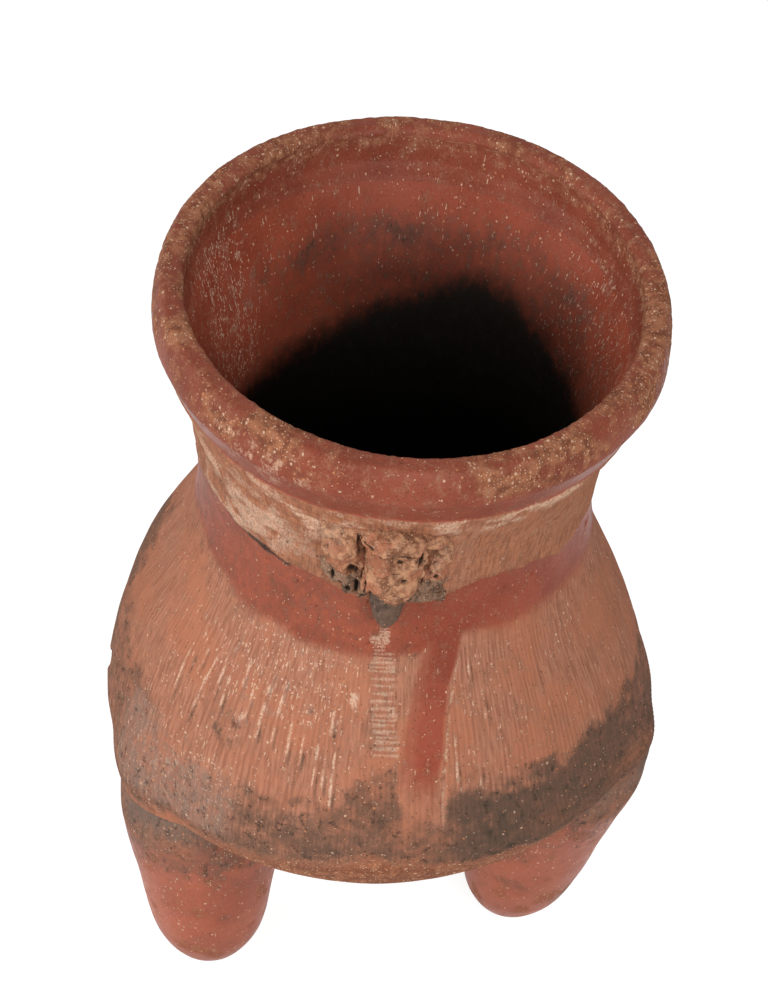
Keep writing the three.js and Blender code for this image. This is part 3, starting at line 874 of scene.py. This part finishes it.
# The head under the lip, lump by lump: across, up, width, height, depth and how square it is.
HEAD_AZIMUTH = 0.5
HEAD_RISE = 120.5
HEAD_BITE = 1.4
HEAD_VOXEL = 0.45
HEAD_SEED = 140
HEAD_SEED_STEP = 17
HEAD_LUMPS = {
    "animal_head": [
        (-1.6, 11.8, 18.5, 7.6, 7.6, 0.85), (-0.9, 0.8, 17.0, 18.6, 12.4, 0.80),
        (-4.2, 6.2, 9.0, 8.0, 12.0, 0.9), (3.8, 7.2, 8.4, 9.0, 9.0, 0.85),
        (-7.9, -0.5, 2.8, 17, 10.8, 0.85), (0.2, -6.8, 13.5, 6.5, 11.6, 0.85),
    ],
    "beak": [(-1.5, -15.0, 9.8, 19.5, 10.6, 0.92), (-1.9, -18.8, 6.2, 9.4, 11.0, 0.95)],
    "pad_left": [
        (-15.2, 6.8, 12.0, 13.0, 6.4, 0.9), (-17.8, 10.6, 9.0, 6.5, 3.6, 0.9),
        (-19.4, 5.4, 3.0, 12.0, 5.2, 0.9), (-13.2, 2.6, 8.5, 7.5, 5.6, 0.85),
        (-12.8, 3.0, 15.0, 22.0, 3.4, 0.9),
    ],
    "pad_right": [
        (9.6, 1.4, 4.4, 12.5, 5.4, 0.9), (12.0, 4.6, 5.0, 9.5, 4.0, 0.9),
        (8.6, 11.0, 9.5, 4.2, 4.0, 0.9), (9.5, 2.0, 11.0, 22.0, 3.0, 0.9),
    ],
    "cracked_clay_left": [
        (-18.4, -8.4, 5.4, 5.6, 3.0, 0.8), (-15.2, -10.6, 5.2, 6.6, 3.8, 0.8),
        (-12.0, -13.0, 4.6, 6.0, 4.0, 0.8), (-9.0, -14.2, 4.4, 6.8, 4.6, 0.8),
        (-16.2, -5.0, 5.4, 5.2, 3.0, 0.85), (-9.6, -6.6, 3.4, 10.0, 4.8, 0.85),
        (-13.2, -8.6, 12.5, 11.5, 2.6, 0.85),
    ],
    "cracked_clay_right": [
        (8.2, -8.4, 5.0, 8.0, 4.6, 0.85), (11.6, -10.4, 5.0, 8.0, 3.2, 0.85),
        (7.6, -16.4, 8.0, 4.6, 3.0, 0.8), (12.2, -16.0, 5.2, 4.4, 2.6, 0.8),
        (4.6, -14.0, 4.4, 6.4, 5.0, 0.85), (8.8, -11.4, 10.0, 11.0, 2.4, 1.0),
    ],
}
# Hollows and cracks in the modelled clay: across, up, half-width, half-height and depth.
HOLLOWS = [
    (-10.3, 5.6, 0.9, 3.2, 5.0), (-12.0, -4.6, 1.6, 2.2, 4.2), (8.4, -12.4, 1.9, 0.7, 3.0),
    (12.4, -13.8, 0.9, 0.8, 2.4), (5.8, 8.2, 0.7, 2.2, 2.4), (8.7, 6.7, 0.9, 1.5, 3.4),
    (-5.2, 10.3, 4.6, 0.5, 1.3), (1.8, 10.9, 3.0, 0.45, 1.3), (-11.4, 10.0, 0.45, 3.0, 2.0),
    (-13.2, 13.4, 1.6, 0.5, 1.4), (-9.2, 12.3, 2.6, 0.3, 0.8), (-8.5, -2.4, 0.35, 6.0, 1.2),
    (-15.2, -12.6, 0.6, 1.6, 2.0), (-12.7, -13.4, 0.8, 1.2, 2.2), (-10.4, -11.6, 0.6, 3.4, 2.6),
    (-8.3, -15.4, 0.9, 1.0, 2.0), (-17.2, -9.2, 0.5, 1.6, 1.4), (7.0, -3.4, 0.5, 4.6, 2.2),
    (10.9, -4.8, 0.8, 0.8, 1.2), (-1.0, -8.0, 6.5, 0.4, 0.5), (-2.5, 5.0, 3.5, 0.4, 0.6),
]


def pressed_lumps(name, lumps):
    """Lumps of clay pressed together on the upright neck, as one mesh."""
    shape = bmesh.new()
    for across, up, width, tall, deep, square in lumps:
        made = bmesh.ops.create_uvsphere(shape, u_segments=32, v_segments=20, radius=1)
        for point in made["verts"]:
            point.co = Vector([math.copysign(abs(part) ** square, part) for part in point.co])
        size = Matrix.Diagonal((width / 2, deep, tall / 2, 1))
        face = float(outer_at(HEAD_RISE + up))
        back = math.sqrt(face * face - across * across)
        place = Matrix.Translation((across, -back, KEEL_HEIGHT + HEAD_RISE + up))
        bmesh.ops.transform(shape, matrix=place @ size, verts=made["verts"])
    piece = linked(name, mesh_of(shape, name))
    knead = piece.modifiers.new("knead", "REMESH")
    knead.mode = "VOXEL"
    knead.voxel_size = HEAD_VOXEL
    soften = piece.modifiers.new("soften", "SMOOTH")
    soften.factor = 0.5
    soften.iterations = 6
    return finished(piece)


def modelled_piece(name, lumps, seed, roughness):
    """Pressed lumps, weathered and hollowed, and set a little way into the neck."""
    mesh = pressed_lumps(name, lumps)
    points = read_points(mesh)
    normals = np.zeros(len(points) * 3, np.float32)
    mesh.vertex_normals.foreach_get("vector", normals)
    normals = normals.reshape(-1, 3)
    rough = lumpy(2.3, points, 4.5, 4.5, seed, 3)
    rough += lumpy(1.4, points, 1.5, 1.5, seed + 5)
    pits = patchy(points, 2.6, 1.8, seed + 9, 0.66, 0.84)
    rough -= 0.9 * pits
    points += normals * (roughness * rough)[:, None]
    spread = 1 + lumpy(0.5, points, 1.8, 1.8, seed + 13)
    facing_front = smooth(-normals[:, 1], 0.15, 0.6)
    side = points[:, 0].copy()
    rise = points[:, 2] - KEEL_HEIGHT - HEAD_RISE
    for across, up, half_width, half_height, depth in HOLLOWS:
        away = np.hypot((side - across) / half_width, (rise - up) / half_height)
        inside = (1 - smooth(away * spread, 0.5, 1.35)) * facing_front
        points[:, 1] += depth * inside
        pits = np.maximum(pits, inside * 1.1)
    crust = smooth(-side, 12, 18) * smooth(rise + 0.5 * side, -8, 2)
    curl = np.abs(side - 11.0 - 0.28 * (rise - 2.0)) + 0.1 * np.abs(rise - 2.0)
    crust = np.maximum(crust, 0.85 * (1 - smooth(curl, 0.8, 2.4)) * window(rise, -5, 9, 2))
    crust *= 0.1 + 0.32 * patchy(points, 3, 3, seed + 17, 0.35, 0.65)
    reach = np.hypot(points[:, 0], points[:, 1])
    least = outer_at(points[:, 2] - KEEL_HEIGHT) - HEAD_BITE
    points[:, :2] *= np.maximum(least / reach, 1)[:, None]
    angle = math.radians(HEAD_AZIMUTH)
    turn = np.array([[math.cos(angle), math.sin(angle)], [-math.sin(angle), math.cos(angle)]])
    points[:, :2] = points[:, :2] @ turn
    keep_shares(mesh, {"pits": pits, "crust": crust})
    write_points(mesh, lean(points) * MM)
    return shown_piece(mesh, name, LUMP_SHARP)


class Wire:
    """A value on its way through a material. Sums with it add the nodes that work them out."""

    def __init__(self, tree, socket):
        self.tree = tree
        self.socket = socket

    def reckon(self, operation, *terms, clamp=False):
        numbers = dict(enumerate(terms))
        return wire(self.tree, "Math", 0, numbers, operation=operation, use_clamp=clamp)

    def __add__(self, other):
        return self.reckon("ADD", self, other)

    def __sub__(self, other):
        return self.reckon("SUBTRACT", self, other)

    def __rsub__(self, other):
        return self.reckon("SUBTRACT", other, self)

    def __mul__(self, other):
        return self.reckon("MULTIPLY", self, other)

    def __gt__(self, other):
        return self.reckon("GREATER_THAN", self, other)

    def most(self, other):
        return self.reckon("MAXIMUM", self, other)

    def scaled(self, factor, start, clamp=False):
        """Factor times the value, on top of a start."""
        return self.reckon("MULTIPLY_ADD", self, factor, start, clamp=clamp)

    def short_of(self, reach, low, high):
        """How far the value falls short of a reach, eased from low to high."""
        return self.reckon("SUBTRACT", reach, self, clamp=True).eased(low, high)

    def eased(self, low, high, to_low=0.0, to_high=1.0):
        numbers = {
            "Value": self, "From Min": low, "From Max": high, "To Min": to_low, "To Max": to_high,
        }
        return wire(self.tree, "MapRange", "Result", numbers, interpolation_type="SMOOTHSTEP")


def add_node(tree, kind, inputs=None, **settings):
    """A shader node with its settings made and its inputs set or joined."""
    made = tree.nodes.new(f"ShaderNode{kind}")
    for key, value in settings.items():
        setattr(made, key, value)
    for key, value in (inputs or {}).items():
        if isinstance(value, Wire):
            tree.links.new(value.socket, made.inputs[key])
        else:
            made.inputs[key].default_value = value
    return made


def wire(tree, kind, output, inputs=None, **settings):
    return Wire(tree, add_node(tree, kind, inputs, **settings).outputs[output])


def layered(share, under, over):
    sockets = {0: share, 6: under, 7: over}
    return wire(share.tree, "Mix", 2, sockets, data_type="RGBA", blend_type="MIX")


def vector_reckon(operation, first, second):
    return wire(first.tree, "VectorMath", 0, {0: first, 1: second}, operation=operation)


def stretched(vector, wide, tall):
    """Coordinates in which a lump this wide and tall is one unit across."""
    return vector_reckon("MULTIPLY", vector, (1 / wide, 1 / wide, 1 / tall))


def clouds(vector, wide, tall, detail=3.0, roughness=0.55):
    numbers = {
        "Vector": stretched(vector, wide, tall), "Scale": 1.0, "Detail": detail,
        "Roughness": roughness,
    }
    return wire(vector.tree, "TexNoise", "Fac", numbers)


def grains(vector, wide, tall):
    """Distance from the middle of the nearest grain, and two numbers that belong to that grain."""
    numbers = {"Vector": stretched(vector, wide, tall), "Scale": 1.0}
    made = add_node(vector.tree, "TexVoronoi", numbers)
    colour = Wire(vector.tree, made.outputs["Color"])
    parts = add_node(vector.tree, "SeparateColor", {"Color": colour})
    found = (made.outputs["Distance"], parts.outputs["Red"], parts.outputs["Green"])
    return [Wire(vector.tree, socket) for socket in found]


def wandering(vector, size, reach):
    """Coordinates pulled about a little, so that what is drawn on them has ragged edges."""
    numbers = {"Vector": stretched(vector, size, size), "Scale": 1.0, "Detail": 1.0}
    pull = wire(vector.tree, "TexNoise", "Color", numbers)
    return vector_reckon("ADD", vector, vector_reckon("MULTIPLY", pull, (reach, reach, reach)))


def share_of(tree, name):
    return wire(tree, "Attribute", "Fac", attribute_name=name)


COMBED_CLAY = (0.42, 0.182, 0.112, 1)
COMBED_DARK = (0.295, 0.116, 0.070, 1)
COMBED_ORANGE = (0.42, 0.155, 0.085, 1)
FURROW_SHADE_BROWN = (0.185, 0.085, 0.056, 1)
RED_SLIP = (0.300, 0.066, 0.035, 1)
RED_SLIP_DEEP = (0.215, 0.043, 0.022, 1)
LIP_SLIP = (0.262, 0.064, 0.036, 1)
LIP_SLIP_DEEP = (0.180, 0.040, 0.022, 1)
LEG_SLIP = (0.42, 0.118, 0.064, 1)
LEG_SLIP_DEEP = (0.30, 0.080, 0.046, 1)
TAN_CLAY = (0.40, 0.165, 0.090, 1)
TAN_DARK = (0.25, 0.095, 0.052, 1)
ORANGE_SAND = (0.34, 0.130, 0.066, 1)
SAND_DARK = (0.15, 0.052, 0.028, 1)
CREAM_CRUST_AND_SHEEN = (0.68, 0.45, 0.32, 1)
SOOT_AND_SHADE_BROWN = (0.088, 0.058, 0.042, 1)
SOOT_AND_SHADE_GREY = (0.20, 0.150, 0.125, 1)
SOOT_BLOT = (0.040, 0.027, 0.020, 1)
HOLLOW_BLACK = (0.022, 0.015, 0.011, 1)
CHAR_AND_SHADE_BLACK = (0.005, 0.004, 0.003, 1)
PALE_GRAIN = (0.70, 0.45, 0.31, 1)
ORANGE_GRAIN = (0.55, 0.23, 0.11, 1)
DARK_GRAIN = (0.10, 0.045, 0.030, 1)

# Tones of the sandy clays: light, dark, ruddy and the near-black of the pits and hollows.
SANDY_TONES = (
    (0.54, 0.280, 0.160, 1), (0.21, 0.090, 0.050, 1), (0.40, 0.15, 0.085, 1), HOLLOW_BLACK,
)
BEAK_TONES = (
    (0.18, 0.112, 0.080, 1), (0.070, 0.046, 0.035, 1), (0.14, 0.085, 0.060, 1), HOLLOW_BLACK,
)
CRACKED_TONES = (
    (0.30, 0.175, 0.115, 1), (0.10, 0.06, 0.042, 1), (0.20, 0.10, 0.06, 1), HOLLOW_BLACK,
)
PELLET_TONES = (
    (0.33, 0.14, 0.08, 1), (0.20, 0.08, 0.045, 1), (0.36, 0.13, 0.07, 1), DARK_GRAIN,
)
CLAY_GLOSS = 0.12
BARE_ROUGHNESS = 0.86
SLIP_ROUGHNESS = 0.42
LIP_ROUGHNESS = 0.36
LEG_ROUGHNESS = 0.4
SANDY_ROUGHNESS = 0.9
BEAK_ROUGHNESS = 0.7
SCUFF_MARKS = [(0.55, 2.4), (1.05, 0.85)]


def new_tree(holder):
    """The empty node tree of a material or a world."""
    holder.use_nodes = True
    holder.node_tree.nodes.clear()
    return holder.node_tree


def new_material(name):
    made = bpy.data.materials.new(name)
    tree = new_tree(made)
    skin = add_node(tree, "BsdfPrincipled", {"Specular IOR Level": CLAY_GLOSS})
    add_node(tree, "OutputMaterial", {"Surface": Wire(tree, skin.outputs[0])})
    return made, tree, skin


def dress(skin, colour, rough, height, strength, depth):
    """Join a clay's colour, roughness and fine relief to its surface."""
    bump = {"Height": height, "Strength": strength, "Distance": depth * MM}
    relief = wire(height.tree, "Bump", 0, bump)
    for key, value in {"Base Color": colour, "Roughness": rough, "Normal": relief}.items():
        height.tree.links.new(value.socket, skin.inputs[key])


def fired_clay(name, slip_red=RED_SLIP, slip_deep=RED_SLIP_DEEP, roughness=SLIP_ROUGHNESS):
    """Fired clay with slip, deposits, soot and wear, and painted shade and a painted sheen, where
    the piece's own shares put them.
    """
    made, tree, skin = new_material(name)
    places = wire(tree, "Attribute", "Vector", attribute_name="unrolled")
    mid = clouds(places, 3.2, 3.2)
    fine = clouds(places, 0.7, 0.7, 4.0, 0.7)
    broad = clouds(places, 22, 18, 4.0)
    upright = clouds(places, 0.75, 7, 3.0, 0.6)
    brushed = clouds(places, 14, 0.9, 3.0, 0.6)
    slanted = clouds(places, 1.0, 6, 4.0, 0.65)
    blots = clouds(places, 2.4, 3.2, 5.0, 0.7)
    ragged = mid + fine - 1.0
    pulled = wandering(places, 0.5, 0.5)

    def spread(attribute, ragged_by, soft):
        return ragged.scaled(ragged_by, share_of(tree, attribute)).eased(0.5 - soft, 0.5 + soft)

    slip = spread("slip", 0.5, 0.42)
    pale = spread("pale", 0.7, 0.2)
    sand = spread("sand", 1.3, 0.5)
    cream = spread("cream", 1.7, 0.5) * share_of(tree, "cream").eased(0.0, 0.2, 0.3, 1.0)
    soot = spread("soot", 1.2, 0.6)
    char = spread("char", 0.35, 0.45)
    scuff = share_of(tree, "scuff")

    clay = layered(upright.eased(0.34, 0.60), COMBED_DARK, COMBED_CLAY)
    clay = layered(broad.eased(0.42, 0.62, 0, 0.75), clay, COMBED_ORANGE)
    # Painted shade in the comb furrows.
    clay = layered(share_of(tree, "furrow").eased(0.15, 0.95, 0, 0.34), clay, FURROW_SHADE_BROWN)
    mottled = broad * 0.55 + fine * 0.45
    red = layered(mottled.eased(0.36, 0.62), slip_deep, slip_red)
    strokes = brushed * 0.25 + slanted * 0.75
    tan = layered(strokes.eased(0.38, 0.60), TAN_DARK, TAN_CLAY)
    gritty = layered(mid.eased(0.35, 0.65), SAND_DARK, ORANGE_SAND)
    colour = layered(slip, clay, red)
    colour = layered(pale, colour, tan)
    colour = layered(sand, colour, gritty)
    colour = layered(cream * fine.eased(0.36, 0.60, 0.22, 0.95), colour, CREAM_CRUST_AND_SHEEN)

    clumped = scuff * mid.eased(0.38, 0.58, 0.35, 1.35)
    marks = []
    for wide, tall in SCUFF_MARKS:
        distance, pick, tone = grains(pulled, wide, tall)
        mark = distance.short_of(0.44, 0.03, 0.14) * (clumped.scaled(0.34, pick) > 1.0)
        marks.append(mark * tone.eased(0, 1, 0.45, 0.95))
    colour = layered(marks[0].most(marks[1]) * 0.85, colour, CREAM_CRUST_AND_SHEEN)

    # These soot colours also carry the painted shade that the soot share holds.
    sooty = layered(scuff.eased(0.2, 0.6), SOOT_AND_SHADE_BROWN, SOOT_AND_SHADE_GREY)
    colour = layered(soot * mottled.eased(0.36, 0.64, 1.0, 0.72), colour, sooty)
    blotted = blots.eased(0.53, 0.64) * fine.eased(0.36, 0.56) * soot.eased(0.15, 0.6, 0, 0.8)
    colour = layered(blotted, colour, SOOT_BLOT)

    distance, pick, tone = grains(pulled, 0.66, 0.66)
    crumb = distance.short_of(0.45, 0.04, 0.18)
    light = crumb * (pick > sand.scaled(-0.46, 0.965))
    dark = crumb * (tone > 0.94)
    light_colour = layered(tone.eased(0.3, 0.6), ORANGE_GRAIN, PALE_GRAIN)
    distance, pick, tone = grains(pulled, 1.25, 1.25)
    big = distance.short_of(0.42, 0.03, 0.12) * (pick > sand.scaled(-0.30, 0.985))
    big_colour = layered(tone.eased(0.4, 0.7), ORANGE_GRAIN, PALE_GRAIN)
    colour = layered(light * 0.72, colour, light_colour)
    colour = layered(big * 0.66, colour, big_colour)
    colour = layered(dark * 0.55, colour, DARK_GRAIN)
    # Near-black painted shade inside, and the dark line just below the collar's edge outside.
    colour = layered(char, colour, CHAR_AND_SHADE_BLACK)

    burnish = slip * (1.0 - cream) * (1.0 - sand)
    rough = burnish.scaled(roughness - BARE_ROUGHNESS, BARE_ROUGHNESS)
    rough = rough.reckon("ADD", rough, ragged * 0.25, clamp=True)
    height = upright * (1.0 - slip) * 0.7 + strokes * pale + light * 0.45 + big * 0.6 + fine * 0.45
    dress(skin, colour, rough, height - dark * 0.5, 0.75, 0.35)
    return made


def sandy_clay(name, tones, roughness=SANDY_ROUGHNESS, grain_share=0.55):
    """Eroded sandy clay on the clay's own coordinates, with its pits and hollows darkened almost to
    black.
    """
    light, dark, ruddy, hollow = tones
    made, tree, skin = new_material(name)
    places = stretched(wire(tree, "TexCoord", "Object"), MM, MM)
    broad = clouds(places, 8, 6, 3.0, 0.6)
    mid = clouds(places, 2.6, 2.6, 4.0, 0.6)
    fine = clouds(places, 0.6, 0.6, 4.0, 0.65)
    distance, pick, tone = grains(wandering(places, 0.5, 0.5), 0.72, 0.72)
    crumb = distance.short_of(0.50, 0.04, 0.2)
    grain = crumb * (pick > grain_share)
    colour = layered(mid.eased(0.38, 0.62), dark, light)
    colour = layered(broad.eased(0.48, 0.60, 0, 0.75), colour, ruddy)
    grain_colour = layered(tone.eased(0.3, 0.6), ORANGE_GRAIN, PALE_GRAIN)
    colour = layered(grain * 0.6, colour, grain_colour)
    colour = layered(crumb * (tone > 0.86) * 0.5, colour, DARK_GRAIN)
    crusty = share_of(tree, "crust") * fine.eased(0.36, 0.56, 0.3, 0.9)
    colour = layered(crusty, colour, CREAM_CRUST_AND_SHEEN)
    colour = layered(share_of(tree, "pits").eased(0.15, 0.8, 0, 0.9), colour, hollow)
    rough = fine.scaled(-0.2, roughness + 0.1, clamp=True)
    dress(skin, colour, rough, grain * 0.8 + fine + mid, 0.9, 0.5)
    return made


def place_piece(piece, node, body, material):
    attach(piece, body)
    if node:
        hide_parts(node)
    piece.data.materials.clear()
    piece.data.materials.append(material)


def wall_rows():
    """Rows of the combed wall, whose inside runs down to the edge of the base."""
    rises = np.concatenate([
        np.linspace(0, WALL_MIDDLE, WALL_STEPS[0]),
        np.linspace(WALL_MIDDLE, SHOULDER_SEAM, WALL_STEPS[1])[1:],
    ])
    inner_radius = base_curve()[0] - BASE_THICKNESS
    edge_height = base_curve()[1] - math.sqrt(inner_radius**2 - BASE_INNER_EDGE**2)
    edge_rise = edge_height - KEEL_HEIGHT
    inside = np.linspace(0, SHOULDER_SEAM + SEAM_SLANT, WALL_STEPS[2])
    rows = [outer_row(rise) for rise in rises]
    rows += [inner_row(rise) for rise in inside[inside > edge_rise + 3][::-1]]
    return rows + [(BASE_INNER_EDGE, edge_height, edge_rise, INSIDE, INNER_WALK - edge_rise)]


def build_pot():
    radius = base_curve()[0]
    base = base_arc(radius, KEEL_RADIUS, BASE_STEPS[0], OUTSIDE)
    base += base_arc(radius - BASE_THICKNESS, BASE_INNER_EDGE, BASE_STEPS[1], INSIDE)[::-1]
    shoulder = band_rows(SHOULDER_SEAM, COLLAR_SEAM, *SHOULDER_STEPS)
    collar = band_rows(COLLAR_SEAM, RIM_SEAM, *COLLAR_STEPS)
    outside = np.linspace(RIM_SEAM, LIP_RISE, LIP_STEPS[0])
    inside = np.linspace(MOUTH_LOW, RIM_SEAM + SEAM_SLANT, LIP_STEPS[1])
    lip = [outer_row(rise) for rise in outside] + crown_rows()
    lip += [mouth_row(rise) for rise in inside]
    lip_clay = fired_clay("worn_lip_clay", LIP_SLIP, LIP_SLIP_DEEP, LIP_ROUGHNESS)
    pieces = [
        ("rounded_base", base, "base_bowl", "base_clay", fired_clay("base_clay")),
        ("combed_wall", wall_rows(), "body_wall", "combed_clay", fired_clay("combed_clay")),
        ("slipped_shoulder", shoulder, "shoulder_band", "red_slip", fired_clay("slipped_clay")),
        ("pale_neck", collar, "neck_collar", "pale_clay", fired_clay("brushed_pale_clay")),
        ("thick_lip", lip, "rim_lip", "lip_clay", lip_clay),
    ]
    for name, rows, node, slot, material in pieces:
        piece = pot_piece(name, rows, closed=rows is not base)
        place_piece(piece, node, "jar", material)


def build_legs():
    former = pot_former()
    burnished = fired_clay("burnished_leg_clay", LEG_SLIP, LEG_SLIP_DEEP, LEG_ROUGHNESS)
    pellet_clay = sandy_clay("rolled_pellet_clay", PELLET_TONES)
    for side in LEG_PLACES:
        place_piece(leg_piece(side, former), f"leg_{side}", "jar", burnished)
        pellet = pellet_piece(side)
        place_piece(pellet, f"rattle_pellet_{side}", f"pellet_{side}", pellet_clay)
    bpy.data.objects.remove(former)


def build_head():
    sandy = sandy_clay("eroded_sandy_clay", SANDY_TONES)
    sooty = sandy_clay("sooty_beak_clay", BEAK_TONES, BEAK_ROUGHNESS, 0.84)
    cracked = sandy_clay("cracked_dark_clay", CRACKED_TONES)
    plan = {
        "animal_head": ("adorno_head", "sandy_clay", sandy, 1.0),
        "beak": ("adorno_beak", "sooty_clay", sooty, 0.35),
        "pad_left": ("adorno_pad_left", "sandy_clay", sandy, 1.0),
        "pad_right": ("adorno_pad_right", "sandy_clay", sandy, 1.0),
        "cracked_clay_left": (None, "sooty_clay", cracked, 1.0),
        "cracked_clay_right": (None, "sandy_clay", cracked, 1.0),
    }
    for order, (name, lumps) in enumerate(HEAD_LUMPS.items()):
        node, slot, material, roughness = plan[name]
        piece = modelled_piece(name, lumps, HEAD_SEED + HEAD_SEED_STEP * order, roughness)
        place_piece(piece, node, "jar", material)


# The camera: height of the view, turn of the frame and distance, fitted to the photograph.
VIEW_HEIGHT = 40.16
VIEW_ROLL = 2.43
VIEW_DISTANCE = 789.6
VIEW_TARGET = Vector((-1.15, 0, 157.45))
LENS = 94.47
SENSOR = 36.0
NEAREST = 0.05
FARTHEST = 50

LAMPS = {
    "soft_key": {"azimuth": 15, "height": 32, "distance": 1.5, "size": 0.85, "power": 12.5},
    "low_left": {"azimuth": -70, "height": 24, "distance": 1.6, "size": 1.2, "power": 14.6},
}
AIM = Vector((0, 0, 0.15))
ROOM_LIGHT = 0.42
ROOM_TINT = (1, 0.985, 0.96, 1)
WHITE = (1, 1, 1, 1)
PAPER_TONE = (0.8, 0.79, 0.77, 1)
PAPER_SHADE = (0.30, 0.30, 0.30, 1)
PAPER_GLOW = 0.87
FLOOR_SIZE = 12


def add_camera():
    eye = bpy.data.cameras.new("studio_camera")
    eye.lens = LENS
    eye.sensor_fit = "VERTICAL"
    eye.sensor_height = SENSOR
    eye.clip_start = NEAREST
    eye.clip_end = FARTHEST
    camera = linked("studio_camera", eye)
    turn = Matrix.Rotation(math.radians(90 - VIEW_HEIGHT), 4, "X")
    turn @= Matrix.Rotation(math.radians(VIEW_ROLL), 4, "Z")
    place = (VIEW_TARGET + turn @ Vector((0, 0, VIEW_DISTANCE))) * MM
    camera.matrix_world = Matrix.Translation(place) @ turn
    bpy.context.scene.camera = camera


def add_lights():
    for name, plan in LAMPS.items():
        lamp = bpy.data.lights.new(name, "AREA")
        lamp.shape = "DISK"
        lamp.size = plan["size"]
        lamp.energy = plan["power"]
        light = linked(name, lamp)
        tilt = math.radians(plan["height"])
        away = Vector((*outwards(plan["azimuth"], math.cos(tilt)), math.sin(tilt)))
        light.location = AIM + away * plan["distance"]
        light.rotation_euler = away.to_track_quat("Z", "Y").to_euler()


def show_both(tree, output, lit, plain):
    """Light the scene by one shader, and show the camera, or gloss or glass, the plain one."""
    rays = add_node(tree, "LightPath")
    camera, glossy, through = [
        Wire(tree, rays.outputs[f"Is {kind} Ray"]) for kind in ("Camera", "Glossy", "Transmission")
    ]
    seen = camera.most(glossy).most(through)
    mixed = wire(tree, "MixShader", 0, {0: seen, 1: lit, 2: plain})
    add_node(tree, output, {"Surface": mixed})


def add_room():
    world = bpy.data.worlds.new("pale_room")
    bpy.context.scene.world = world
    tree = new_tree(world)
    lit = wire(tree, "Background", 0, {"Strength": ROOM_LIGHT, "Color": ROOM_TINT})
    white = wire(tree, "Background", 0, {"Strength": 1.0, "Color": WHITE})
    show_both(tree, "OutputWorld", lit, white)

    shape = bmesh.new()
    bmesh.ops.create_grid(shape, x_segments=2, y_segments=2, size=FLOOR_SIZE)
    floor = linked("studio_floor", mesh_of(shape, "studio_floor"))
    paper = bpy.data.materials.new("pale_paper")
    tree = new_tree(paper)
    plain = wire(tree, "BsdfDiffuse", 0, {"Color": PAPER_TONE})
    shaded = wire(tree, "BsdfDiffuse", 0, {"Color": PAPER_SHADE})
    glow = wire(tree, "Emission", 0, {"Color": WHITE, "Strength": PAPER_GLOW})
    bright = wire(tree, "AddShader", 0, {0: shaded, 1: glow})
    show_both(tree, "OutputMaterial", plain, bright)
    floor.data.materials.append(paper)


add_camera()
add_lights()
add_room()
build_pot()
build_legs()
build_head()
bpy.context.scene.view_settings.view_transform = "Standard"

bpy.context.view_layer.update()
